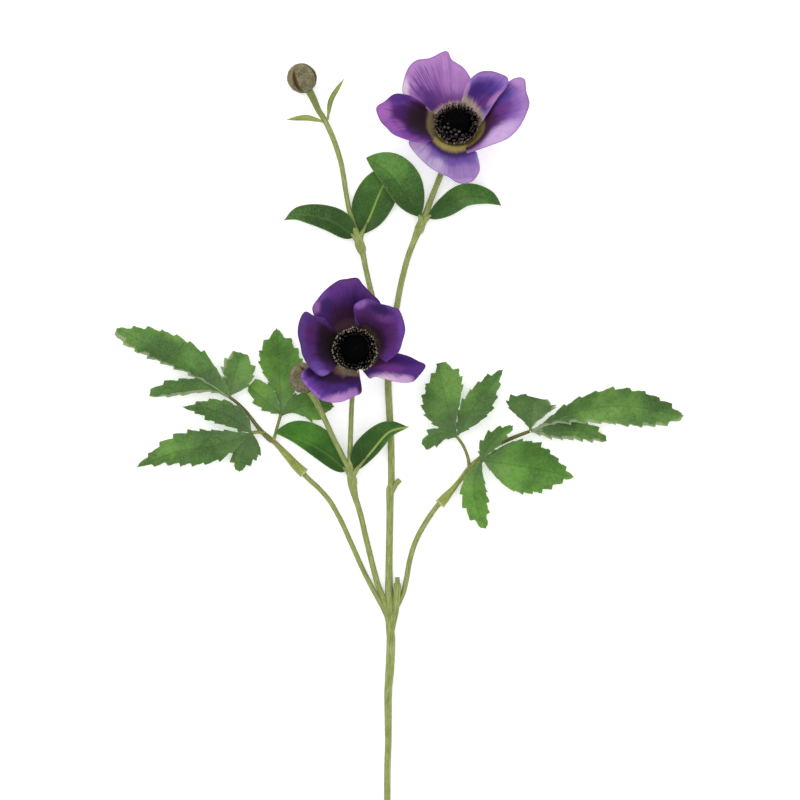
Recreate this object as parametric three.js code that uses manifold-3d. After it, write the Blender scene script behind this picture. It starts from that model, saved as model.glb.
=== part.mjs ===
// A cut anemone spray, laid on a flat surface: two open flowers, two round buds and their foliage
// on one branching stem. Millimetres, +Z up. The surface is z = 0, the cut end points to -Y, the
// flower heads lie towards +Y and face up. The origin is the middle of the footprint.
//
// Routes and leaf ends are given from the fork, the point where the four stalks leave the stem.
// FORK places that point in the part's frame.

import * as THREE from "three";
import { mergeVertices } from "three/addons/utils/BufferGeometryUtils.js";
import Module from "manifold-3d";

const wasm = await Module();
wasm.setup();

// Driving dimensions
const FORK = new THREE.Vector3(-6, -64, 0);
const GAP = 0.3; // clearance between pieces that touch
const ROOM = 0.42; // what a cutter is grown by, so that slanted faces keep the clearance too
const LEAF_THICK = 0.8;
const PETAL_THICK = 0.8;
const BUD_R = 8.1;
const BUD_LONG = 1.02; // length of a bud over its width

// Colours
const matte = (color, roughness) => new THREE.MeshStandardMaterial({ color, roughness, metalness: 0 });
const STEM_GREEN = matte(0x8f9f55, 0.75);
const STALK_GREEN = matte(0x8b9440, 0.6);
const LEAF_GREEN = matte(0x4f8040, 0.8);
const BRACT_GREEN = matte(0x869a48, 0.8);
const LILAC = matte(0x9a6bc0, 0.7);
const VIOLET = matte(0x55308c, 0.7);
const BLACK = matte(0x17120f, 0.8);
const BUD_BROWN = matte(0x77705a, 0.9);

const spray = new THREE.Group();
spray.position.copy(FORK);
const group = new THREE.Group().add(spray);
const radians = THREE.MathUtils.degToRad;
const from = ([x, y, z]) => new THREE.Vector3(x, y, z);

// A closed mesh as a manifold-3d solid, and back.
function solid(geometry) {
  const bare = geometry.clone();
  bare.deleteAttribute("normal");
  bare.deleteAttribute("uv");
  const merged = mergeVertices(bare, 1e-4);
  return new wasm.Manifold(
    new wasm.Mesh({
      numProp: 3,
      vertProperties: new Float32Array(merged.attributes.position.array),
      triVerts: new Uint32Array(merged.index.array),
    }),
  );
}

function geometryOf(shape) {
  const { numProp, numVert, vertProperties, triVerts } = shape.getMesh();
  const position = new Float32Array(numVert * 3);
  for (let i = 0; i < numVert; i++) {
    position.set(vertProperties.subarray(i * numProp, i * numProp + 3), i * 3);
  }
  return new THREE.BufferGeometry()
    .setAttribute("position", new THREE.BufferAttribute(position, 3))
    .setIndex(new THREE.BufferAttribute(triVerts, 1));
}

const join = (shapes) => shapes.reduce((all, next) => all.add(next));

// The largest body of a shape: what a cut leaves loose is dropped.
function largest(shape) {
  return shape.decompose().reduce((a, b) => (a.volume() > b.volume() ? a : b));
}

// The half space above the surface, which gives a piece that dips under z = 0 its resting flat.
const ABOVE = solid(new THREE.BoxGeometry(1200, 1200, 400).translate(0, 0, 200));

function addNode(name, shape, material) {
  const mesh = new THREE.Mesh(geometryOf(largest(shape.intersect(ABOVE))), material);
  mesh.name = name;
  spray.add(mesh);
}

// A hump from 0 to 1 and back to 0 as t goes from 0 to 1, with its top at peak. A higher slope
// makes it narrower.
function hump(t, peak, slope) {
  return (t / peak) ** (slope * peak) * ((1 - t) / (1 - peak)) ** (slope * (1 - peak));
}

// A thin closed solid on both sides of a grid of points, with both faces split alike.
function sheet(points, thick) {
  const rows = points.length;
  const cols = points[0].length;
  const position = [];
  for (const side of [1, -1]) {
    for (let i = 0; i < rows; i++) {
      for (let j = 0; j < cols; j++) {
        const down = points[Math.min(i + 1, rows - 1)][j].clone().sub(points[Math.max(i - 1, 0)][j]);
        const across = points[i][Math.min(j + 1, cols - 1)].clone().sub(points[i][Math.max(j - 1, 0)]);
        const normal = down.cross(across).normalize();
        position.push(...points[i][j].clone().addScaledVector(normal, (side * thick) / 2).toArray());
      }
    }
  }
  const at = (side, i, j) => (side * rows + i) * cols + j;
  const index = [];
  const quad = (a, b, c, d) => index.push(a, b, c, a, c, d);
  for (let i = 0; i + 1 < rows; i++) {
    for (let j = 0; j + 1 < cols; j++) {
      quad(at(0, i, j), at(0, i + 1, j), at(0, i + 1, j + 1), at(0, i, j + 1));
      index.push(at(1, i, j), at(1, i + 1, j + 1), at(1, i + 1, j));
      index.push(at(1, i, j), at(1, i, j + 1), at(1, i + 1, j + 1));
    }
    quad(at(0, i, 0), at(1, i, 0), at(1, i + 1, 0), at(0, i + 1, 0));
    quad(at(0, i, cols - 1), at(0, i + 1, cols - 1), at(1, i + 1, cols - 1), at(1, i, cols - 1));
  }
  for (let j = 0; j + 1 < cols; j++) {
    quad(at(0, 0, j), at(0, 0, j + 1), at(1, 0, j + 1), at(1, 0, j));
    quad(at(0, rows - 1, j), at(1, rows - 1, j), at(1, rows - 1, j + 1), at(0, rows - 1, j + 1));
  }
  const made = new THREE.BufferGeometry();
  made.setAttribute("position", new THREE.Float32BufferAttribute(position, 3));
  made.setIndex(index);
  return made;
}

// The same grid of points with its border moved outwards.
function grown(points, grow) {
  const wide = points.map((row) => {
    const last = row.length - 1;
    const ends = { 0: row[1], [last]: row[last - 1] };
    return row.map((p, j) => (ends[j] ? awayFrom(ends[j], p, grow) : p.clone()));
  });
  const last = wide.length - 1;
  const first = wide[0].map((p, j) => awayFrom(wide[1][j], p, grow));
  const final = wide[last].map((p, j) => awayFrom(wide[last - 1][j], p, grow));
  return [first, ...wide.slice(1, last), final];
}

function awayFrom(inner, outer, distance) {
  return outer.clone().add(outer.clone().sub(inner).setLength(distance));
}

// The room that a sheet needs: the sheet with the clearance all round it.
const roomOf = (points, thick) => solid(sheet(grown(points, ROOM), thick + 2 * ROOM));

// A round stalk along a smooth route of [x, y, z, radius] rows, closed at both ends.
function stalk(route, sides, grow = 0) {
  const line = new THREE.CatmullRomCurve3(route.map(from), false, "catmullrom", 0.5);
  const steps = route.length - 1;
  const rings = route.map((row, i) => ({ t: i / steps, r: row[3] + grow, longer: 0 }));
  if (grow > 0) {
    rings.unshift({ ...rings[0], longer: -grow });
    rings.push({ ...rings[rings.length - 1], longer: grow });
  }
  const position = [];
  const index = [];
  let up = new THREE.Vector3(0, 0, 1);
  for (const { t, r, longer } of rings) {
    const ahead = line.getTangent(t);
    const centre = line.getPoint(t).addScaledVector(ahead, longer);
    const side = up.clone().cross(ahead).normalize();
    up = ahead.clone().cross(side).normalize();
    for (let k = 0; k < sides; k++) {
      const turn = ((k + 0.5) / sides) * 2 * Math.PI;
      const rim = centre.clone();
      rim.addScaledVector(side, Math.cos(turn) * r).addScaledVector(up, Math.sin(turn) * r);
      position.push(...rim.toArray());
    }
  }
  const last = rings.length - 1;
  for (let i = 0; i < last; i++) {
    for (let k = 0; k < sides; k++) {
      const a = i * sides + k;
      const b = i * sides + ((k + 1) % sides);
      index.push(a, b, b + sides, a, b + sides, a + sides);
    }
  }
  for (let k = 1; k + 1 < sides; k++) {
    index.push(0, k + 1, k);
    index.push(last * sides, last * sides + k, last * sides + k + 1);
  }
  const made = new THREE.BufferGeometry();
  made.setAttribute("position", new THREE.Float32BufferAttribute(position, 3));
  made.setIndex(index);
  return solid(made);
}

// Stem: the main stem up to the top flower, its branches, the swollen leaf joints and two stubs.
// Each row is [x, y, z, radius] from the fork.
const STEM = {
  main: [
    [-1, -177, 1.65, 1.8],
    [-1, -100, 1.65, 1.8],
    [-0.5, -79, 1.65, 1.8],
    [-0.5, -63.5, 1.8, 2],
    [-0.5, -49, 1.95, 2.15],
    [0.5, -35, 2.3, 2.45],
    [1, -20, 2.2, 2.4],
    [0.5, -13, 2.2, 2.3],
    [0.5, -3, 2.6, 2.8],
    [0, 9, 2.1, 2.2],
    [0, 23, 1.85, 1.95],
    [0.4, 46, 1.85, 1.9],
    [0.5, 60, 1.95, 2.1],
    [0.7, 63.5, 2.1, 2.2],
    [1.2, 67, 1.85, 1.85],
    [1.2, 84, 1.8, 1.85],
    [0.5, 101, 1.8, 1.9],
    [-0.5, 121, 1.8, 1.9],
    [0, 139.5, 1.9, 2.15],
    [4, 163, 1.7, 1.7],
    [6.6, 177, 1.7, 1.65],
    [10, 190.5, 1.9, 1.65],
    [14, 201.5, 2.4, 1.75],
    [17, 208.5, 2.9, 2.5],
    [19.5, 213.5, 3.3, 2.2],
    [22.5, 222, 3.4, 1.65],
    [27, 233.5, 3.3, 1.6],
    [32.5, 247.5, 3, 1.7],
    [35, 255.5, 4.2, 1.75],
    [36.5, 260, 8.4, 2.1],
    [37, 262.5, 12.6, 5.2],
  ],
  bud: [
    [0, 137, 1.8, 1.4],
    [-4, 150, 1.7, 1.5],
    [-10, 173, 1.7, 1.5],
    [-13, 186, 1.9, 1.5],
    [-14.5, 193.5, 2.3, 1.7],
    [-16, 198, 2.7, 2.7],
    [-17.5, 203.5, 2.8, 2.1],
    [-19.5, 209, 2.8, 1.6],
    [-22.7, 221, 2.6, 1.35],
    [-25.4, 237.5, 2.8, 1.4],
    [-27, 245.5, 3.1, 1.45],
    [-30.5, 256.5, 3.7, 1.5],
    [-35.5, 267.5, 4.4, 1.5],
    [-39, 273, 5.2, 1.65],
    [-41.5, 278.5, 5.9, 1.9],
    [-44, 283.5, 6.8, 2.2],
  ],
  middle: [
    [0, -10.5, 2.4, 1.6],
    [-2, -1, 2.6, 1.7],
    [-4.5, 6, 2.5, 1.65],
    [-7, 13, 2.4, 1.6],
    [-12.5, 35, 2.6, 1.55],
    [-15, 46, 3.1, 1.55],
    [-17, 53.5, 3.6, 1.6],
    [-18.8, 59, 4, 1.75],
    [-20.4, 66.5, 4.8, 2.5],
    [-21, 73, 5.6, 2.2],
    [-21.5, 84, 6.7, 1.5],
    [-20.5, 112, 8.4, 1.35],
    [-19.5, 124, 9.2, 1.5],
    [-19, 134, 11.4, 1.7],
    [-18.5, 139, 15.4, 2.1],
    [-18.5, 140.5, 19.6, 5.2],
  ],
  side_bud: [
    [-22, 74, 5.6, 1.5],
    [-27.4, 85, 6.8, 1.5],
    [-30.5, 91, 7.4, 1.5],
    [-35, 101, 8.8, 1.55],
    [-40, 111.5, 10.4, 1.8],
    [-43.5, 117.5, 11.4, 2.2],
  ],
  left: [
    [-0.5, -11, 2.4, 1.3],
    [-2.3, -4.5, 2.2, 1.4],
    [-9.3, 8.5, 1.8, 1.4],
    [-14.4, 18.5, 1.6, 1.35],
    [-24.2, 40.5, 1.8, 1.35],
    [-27, 46.5, 2, 1.35],
    [-32.7, 56.5, 2.3, 1.35],
    [-38.6, 63.5, 2.7, 1.35],
    [-44.6, 69, 3, 1.35],
    [-49.5, 74.3, 3.2, 1.3],
  ],
  right: [
    [1.5, -11, 2.4, 1.3],
    [3, -4.5, 2.2, 1.45],
    [8.3, 7.5, 1.8, 1.45],
    [11.5, 24, 1.7, 1.45],
    [15, 35, 1.8, 1.45],
    [21, 46, 2.2, 1.45],
    [27.5, 55, 2.9, 1.4],
    [32, 59, 3.2, 1.3],
  ],
  fork_stub: [
    [3, -8, 3, 1.5],
    [4, 0, 3.8, 2],
    [4.5, 7.5, 4.2, 2.1],
    [4.5, 11, 4.4, 2],
    [4.7, 11.5, 4.4, 1.35],
    [4.6, 14.6, 4.6, 1.3],
  ],
  upper_stub: [
    [1.5, 61.5, 2.4, 1.3],
    [3.5, 65.8, 2.9, 1.5],
    [6, 68.5, 3.4, 1.5],
  ],
};
const stemBranches = (grow) => join(Object.values(STEM).map((route) => stalk(route, 7, grow)));
const aroundStem = stemBranches(ROOM);

// Buds: a ball of folded sepals, with seams that wind from the stalk to the tip.
const SEAM_DEPTH = 0.08;
const SEAM_WIND = 1.1;
function budGeometry(centre, axis, turn) {
  const ball = new THREE.SphereGeometry(1, 16, 10);
  const place = ball.attributes.position;
  for (let i = 0; i < place.count; i++) {
    const p = new THREE.Vector3().fromBufferAttribute(place, i);
    const wind = Math.atan2(p.z, p.x) + turn + SEAM_WIND * p.y;
    const groove = Math.cos(1.5 * wind) ** 8 * Math.sqrt(Math.max(0, 1 - p.y * p.y));
    p.multiplyScalar(BUD_R * (1 - SEAM_DEPTH * groove));
    p.y *= BUD_LONG;
    place.setXYZ(i, p.x, p.y, p.z);
  }
  const lean = new THREE.Quaternion().setFromUnitVectors(new THREE.Vector3(0, 1, 0), axis);
  return ball.applyQuaternion(lean).translate(centre.x, centre.y, centre.z);
}
const BUDS = {
  bud_top: { centre: [-48, 290.5, 7.5], axis: [-0.45, 0.86, 0.25], turn: 0.4 },
  bud_side: { centre: [-47, 125, 13.4], axis: [-0.4, 0.88, 0.25], turn: 1.5 },
};
let budRoom = null;
for (const [name, { centre, axis, turn }] of Object.entries(BUDS)) {
  const middle = from(centre);
  addNode(name, solid(budGeometry(middle, from(axis).normalize(), turn)), BUD_BROWN);
  const room = solid(
    new THREE.SphereGeometry(BUD_R * BUD_LONG + ROOM, 20, 12).translate(middle.x, middle.y, middle.z),
  );
  budRoom = budRoom ? budRoom.add(room) : room;
}

// Flowers. Each one has its own frame: w points along its axis, v towards the spray's top.
function flowerFrame(seat, axis) {
  const w = from(axis).normalize();
  const u = new THREE.Vector3(0, 1, 0).cross(w).normalize();
  const v = w.clone().cross(u);
  return new THREE.Matrix4().makeBasis(u, v, w).setPosition(from(seat));
}

// One petal in its flower's frame. Its edge is a smooth curve from the left margin round the tip to
// the right margin, and rays run to it from the narrow claw. They stay level under the stamens and
// then climb to the edge. belly is [height, place] of a swelling of the wall between the margins.
function petalPoints(axis, turn, petal, rows, cols) {
  const { edge, level, rise, belly } = petal;
  const knots = edge.map(([x, y, h]) =>
    new THREE.Vector3(x, y, (h - x * axis.x - y * axis.y) / axis.z).applyMatrix4(turn),
  );
  const rim = new THREE.CatmullRomCurve3(knots, false, "catmullrom", 0.5);
  const outward = knots.reduce((sum, knot) => sum.add(knot), new THREE.Vector3()).setZ(0).normalize();
  const right = new THREE.Vector3(outward.y, -outward.x, 0);
  return rows.map((t) =>
    Array.from({ length: cols + 1 }, (_, j) => {
      const across = (2 * j) / cols - 1;
      const claw = outward.clone().multiplyScalar(CLAW_AT).addScaledVector(right, across * CLAW_HALF);
      const tip = rim.getPoint(j / cols);
      const reach = Math.max(1, Math.hypot(tip.x, tip.y) - FLOOR_R);
      const point = claw.lerp(tip, t);
      const climb = THREE.MathUtils.clamp((Math.hypot(point.x, point.y) - FLOOR_R) / reach, 0, 1);
      const floor = THREE.MathUtils.lerp(level[0], level[1], (across + 1) / 2);
      const swell = belly[0] * (1 - across ** 4) * hump(climb, belly[1], BELLY_SLOPE);
      return point.setZ(floor + (tip.z - floor) * climb ** rise + swell);
    }),
  );
}

// Petal edges are [x, y, height] from the flower's seat: x and y in the spray's axes, and the
// height along the flower's axis. level is how far the left and the right margin start above the
// seat: an inner margin lies on its neighbour's outer one.
const CLAW_AT = 4;
const CLAW_HALF = 1.7;
const FLOOR_R = 11.5;
const BELLY_SLOPE = 3;
const OUTER = 0.8;
const INNER = 2.1;
const TOP_FLOWER = {
  seat: [37, 262.5, 12.6],
  axis: [-0.05, 0.4, 0.91],
  petals: {
    north: {
      level: [OUTER, OUTER], rise: 1.3, belly: [0, 0.5],
      edge: [
        [-20, 14.5, 6], [-28.5, 18, 11], [-29.5, 24, 13], [-26.5, 33, 16], [-22, 37.8, 17], [-14.5, 39.3, 16],
        [-5.5, 43.3, 13.5], [-2.5, 38, 15], [4, 33.5, 15], [8, 27, 12.5], [10, 20.5, 7], [6.5, 13.5, 3],
      ],
    },
    south: {
      level: [OUTER, OUTER], rise: 1.4, belly: [5, 0.3],
      edge: [
        [11, -14, 2], [12.5, -20, -2], [12.5, -24.5, -7], [9.5, -28.5, -12], [4.5, -30, -14],
        [-0.5, -29, -13.5], [-4.5, -26.5, -11], [-8.5, -24.8, -9.5], [-17, -19.5, -4], [-25, -11, 1],
        [-25, -7.2, 4], [-13.5, -5.5, 3],
      ],
    },
    south_east: {
      level: [OUTER, INNER], rise: 1.2, belly: [2, 0.5],
      edge: [
        [13, 5, 3], [20.5, 14.5, 8], [26.5, 23, 13], [31.5, 27, 16], [37, 26.5, 19], [38, 19, 18.5],
        [39.5, 11.5, 18], [35, 1, 17], [29, -6, 12], [21.5, -9.5, 9], [13, -12.5, 8], [5.5, -15, 8],
      ],
    },
    west: {
      level: [INNER, INNER], rise: 1.1, belly: [4, 0.45],
      edge: [
        [-17.5, -9.5, 10], [-25, -8.6, 14], [-34, -4.9, 16], [-38.5, -0.5, 16], [-42, 3.5, 16],
        [-44, 10.5, 16], [-39.5, 14, 17.5], [-34.5, 18, 19], [-28, 17.5, 19], [-22.5, 15.5, 17],
        [-17.5, 11, 12], [-13, 9, 6],
      ],
    },
    north_east: {
      level: [INNER, INNER], rise: 1.2, belly: [2, 0.5],
      edge: [
        [2.5, 13.5, 5], [4, 18.5, 10], [5, 22.5, 15], [8, 26.8, 18.5], [12.5, 29.8, 20.5], [17.5, 30.8, 20.5],
        [23, 29.8, 20], [28, 26.8, 19], [27, 21.5, 18], [22.5, 16, 15], [18.5, 10, 11], [14, 3, 6],
      ],
    },
  },
};
const MIDDLE_FLOWER = {
  seat: [-18.5, 140.5, 19.6],
  axis: [0.08, 0.1, 0.99],
  petals: {
    north: {
      level: [OUTER, OUTER], rise: 1.1, belly: [2, 0.5],
      edge: [
        [-15.5, 8, 6], [-21, 16, 13], [-23, 22, 18], [-20, 27, 20], [-15.5, 32.2, 21.5], [-9, 37, 22],
        [-4, 38, 22], [1.5, 38.5, 21], [4.5, 35, 19.5], [9.5, 30, 17.5], [14, 25, 15], [13, 18, 10],
        [8.5, 13, 4.5],
      ],
    },
    south_west: {
      level: [OUTER, OUTER], rise: 1.2, belly: [3, 0.6],
      edge: [
        [2, -11.5, 1.5], [2.5, -15, 3], [3.5, -23.5, 9], [-1, -26, 12], [-6.5, -28.5, 14], [-13, -29, 15.5],
        [-18.5, -27.5, 16.5], [-23.5, -23, 16.5], [-28.5, -17, 16], [-28.5, -12.5, 15], [-23, -9, 10.5],
        [-15.5, -5.5, 4],
      ],
    },
    south_east: {
      level: [OUTER, OUTER], rise: 1.2, belly: [0, 0.5],
      edge: [
        [14, -1.5, 3], [22.5, -2, 7.5], [29.5, -4, 11.5], [34.5, -6.5, 13], [38.5, -9, 13], [35, -14.5, 10],
        [30.5, -18.1, 7], [21.5, -17.5, 5.5], [11.5, -15, 4], [8, -16, 3], [4.5, -12, 2],
      ],
    },
    west: {
      level: [INNER, INNER], rise: 1.1, belly: [3, 0.5],
      edge: [
        [-11, -10, 7], [-15, -14, 13], [-19, -14.5, 17], [-24.5, -9.5, 20], [-28, -3.5, 22], [-29, 1.5, 23],
        [-30.5, 8.5, 24], [-29.5, 15.5, 24.5], [-26.5, 20, 24], [-22, 18, 21], [-16.5, 17, 16],
      ],
    },
    east: {
      level: [INNER, INNER], rise: 1.1, belly: [3, 0.5],
      edge: [
        [3, 12, 6], [0.5, 17, 12], [-0.5, 23, 19], [2, 25.5, 22.5], [7.5, 27, 23.5], [14, 24.5, 22.5],
        [20, 23, 21.5], [24.5, 20.5, 21], [27.3, 11.5, 20], [26, 4.5, 17.5], [23.5, -2, 13], [17, -7, 6.5],
      ],
    },
  },
};
const PETAL_ROWS = [0, 0.25, 0.42, 0.6, 0.8, 1];

// The dark middle of a flower: a boss of pistils with rings of stamens round it.
const BOSS_R = 6.6;
const BOSS_AT = 7;
const BOSS_FLAT = 0.75;
const FOOT_TOP_R = 3.6;
const FOOT_R = 2.2;
const FOOT_LONG = 5;
const STAMEN_FROM = { out: 4.4, up: 4.2, r: 0.4 };
const ANTHER_LONG = 1.6;
const ANTHER_R = 0.85;
const ANTHER_TIP_R = 0.35;
const UNEVEN = 0.6;
const STAMENS = [
  { count: 8, reach: 8.8, height: 8.2, shift: 0.1 },
  { count: 11, reach: 10.8, height: 7.0, shift: 0.4 },
  { count: 14, reach: 12.6, height: 5.6, shift: 0.7 },
];
function centreSolid() {
  const ball = new THREE.SphereGeometry(BOSS_R, 12, 8).rotateX(Math.PI / 2).scale(1, 1, BOSS_FLAT);
  const foot = new THREE.CylinderGeometry(FOOT_TOP_R, FOOT_R, FOOT_LONG, 10).rotateX(Math.PI / 2);
  const pieces = [
    solid(ball.translate(0, 0, BOSS_AT)),
    solid(foot.translate(0, 0, GAP + FOOT_LONG / 2)),
  ];
  for (const { count, reach, height, shift } of STAMENS) {
    for (let k = 0; k < count; k++) {
      const turn = ((k + shift) / count) * 2 * Math.PI;
      const uneven = UNEVEN * Math.sin(5.3 * k + 9 * shift);
      const out = reach + uneven;
      const up = height - uneven;
      const rows = [
        [STAMEN_FROM.out, STAMEN_FROM.up, STAMEN_FROM.r],
        [out - ANTHER_LONG / 2, up, ANTHER_R],
        [out + ANTHER_LONG / 2, up + UNEVEN, ANTHER_TIP_R],
      ];
      const route = rows.map(([far, z, r]) => [far * Math.cos(turn), far * Math.sin(turn), z, r]);
      pieces.push(stalk(route, 3));
    }
  }
  return join(pieces);
}

// Each petal is cut clear of the ones listed before it, and the centre clear of them all.
const centre = centreSolid();
for (const [name, flower, material] of [
  ["top_flower", TOP_FLOWER, LILAC],
  ["middle_flower", MIDDLE_FLOWER, VIOLET],
]) {
  const frame = flowerFrame(flower.seat, flower.axis);
  const turn = new THREE.Matrix4().extractRotation(frame).invert();
  const axis = from(flower.axis).normalize();
  let taken = aroundStem;
  for (const [side, petal] of Object.entries(flower.petals)) {
    const points = petalPoints(axis, turn, petal, PETAL_ROWS, petal.edge.length - 1);
    const blade = solid(sheet(points, PETAL_THICK).applyMatrix4(frame));
    addNode(`${name}_petal_${side}`, blade.subtract(taken), material);
    taken = taken.add(roomOf(points, PETAL_THICK).transform(frame.elements));
  }
  addNode(`${name}_centre`, centre.transform(frame.elements).subtract(taken), BLACK);
}

// Leaves. rib lists [x, y, z] points from the base to the tip. The other values are pairs, for the
// left and the right half seen from above with the tip ahead: wide is the widest half width, peak
// is how far along the rib that is, slope how soon the half narrows from there and tip its half
// width at the leaf's end, and fold tips the half up from the rib, in degrees. teeth is how many
// teeth each side has.
const TOOTH = 1.1;
const NECK = 0.8;
const TIP = 0.25;
const BLUNTING = 4; // how late a leaf widens to a blunt end
const LEAF_SLOPE = 1.7;
const SMOOTH_ROWS = 9;
const TOOTH_AT = 0.72; // where a tooth's point is between two notches
const THIN_TOOTH = 0.3; // a tooth's depth over the half width, where the leaf is narrow
function leafPoints(leaf, rows, cols) {
  const { rib, wide, peak, fold, teeth = 0 } = leaf;
  const { slope = [LEAF_SLOPE, LEAF_SLOPE], tip = [TIP, TIP] } = leaf;
  const line = new THREE.CatmullRomCurve3(rib.map(from), false, "catmullrom", 0.5);
  return rows.map((t, i) => {
    const ahead = line.getTangent(t);
    const side = new THREE.Vector3(0, 0, 1).cross(ahead).normalize();
    const up = ahead.clone().cross(side);
    const notch = teeth > 0 && i > 0 && i % 2 === 0;
    return cols.map((across) => {
      const half = across > 0 ? 0 : 1;
      const smooth = wide[half] * hump(t, peak[half], slope[half]);
      const cut = notch ? Math.min(TOOTH, smooth * THIN_TOOTH) : 0;
      const reach = Math.max(NECK * (1 - t), tip[half] * t ** BLUNTING, smooth - cut) * across;
      const lift = Math.abs(reach) * Math.tan(radians(fold[half]));
      return line.getPoint(t).addScaledVector(side, reach).addScaledVector(up, lift);
    });
  });
}

// Rows at each tooth's point and each notch, or evenly spaced where the edge is smooth.
function leafRows(teeth = 0) {
  if (teeth === 0) return Array.from({ length: SMOOTH_ROWS + 1 }, (_, i) => i / SMOOTH_ROWS);
  const rows = [0];
  for (let k = 0; k < teeth; k++) rows.push((k + TOOTH_AT) / teeth, (k + 1) / teeth);
  return rows;
}

const leafSolid = (leaf, cols) => solid(sheet(leafPoints(leaf, leafRows(leaf.teeth), cols), LEAF_THICK));

// Smooth leaves in pairs at the swollen joints, and the two bracts under the top bud.
const SMOOTH_LEAVES = {
  bud_leaf_left: {
    rib: [[-19.5, 203.5, 2.8], [-31.5, 211.5, 4.6], [-48.5, 215.5, 3.8], [-58.5, 212.5, 1.6]],
    wide: [6, 8], peak: [0.3, 0.3], fold: [14, 14],
  },
  bud_leaf_right: {
    rib: [[-15.5, 204, 2.6], [-10.5, 214.5, 2.4], [-4, 230, 2.2], [3.5, 242, 1.2]],
    wide: [12.5, 10], peak: [0.5, 0.6], fold: [6, 6],
  },
  top_leaf_left: {
    rib: [[17.5, 214, 5.4], [10, 224, 8], [0.5, 237, 9.4], [-12.5, 246.5, 7.6]],
    wide: [7, 13.2], peak: [0.5, 0.55], fold: [12, 8],
  },
  top_leaf_right: {
    rib: [[21.5, 214, 4.6], [31.5, 219.8, 6.4], [42, 225.2, 6.8], [53.5, 224.5, 5], [62, 220.5, 2.2]],
    wide: [7, 6], peak: [0.48, 0.35], fold: [14, 14],
  },
  middle_leaf_left: {
    rib: [[-23.5, 74, 4.6], [-37, 84.5, 3.8], [-51, 91.5, 4], [-63.5, 94.5, 4.8]],
    wide: [5.5, 11.5], peak: [0.26, 0.5], fold: [8, 4],
  },
  middle_leaf_right: {
    rib: [[-18.5, 73.5, 6.6], [-9.5, 84.5, 8.2], [0, 95, 9.2], [11, 98, 8.6]],
    wide: [10, 3.5], peak: [0.33, 0.45], fold: [8, 8],
  },
};
const BRACTS = {
  bract_left: {
    rib: [[-36.5, 267, 4.4], [-46, 269, 4.8], [-56.5, 268, 3.8]],
    wide: [1.6, 1.5], peak: [0.5, 0.5], fold: [12, 12],
  },
  bract_right: {
    rib: [[-34, 268, 4.4], [-32, 279, 5], [-25, 290.5, 4]],
    wide: [1.4, 1.4], peak: [0.55, 0.5], fold: [12, 12],
  },
};
for (const [name, leaf] of Object.entries(SMOOTH_LEAVES)) {
  addNode(name, leafSolid(leaf, [-1, -0.5, 0, 0.5, 1]).subtract(aroundStem), LEAF_GREEN);
}
for (const [name, leaf] of Object.entries(BRACTS)) {
  addNode(name, leafSolid(leaf, [-1, 0, 1]).subtract(aroundStem), BRACT_GREEN);
}

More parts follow.
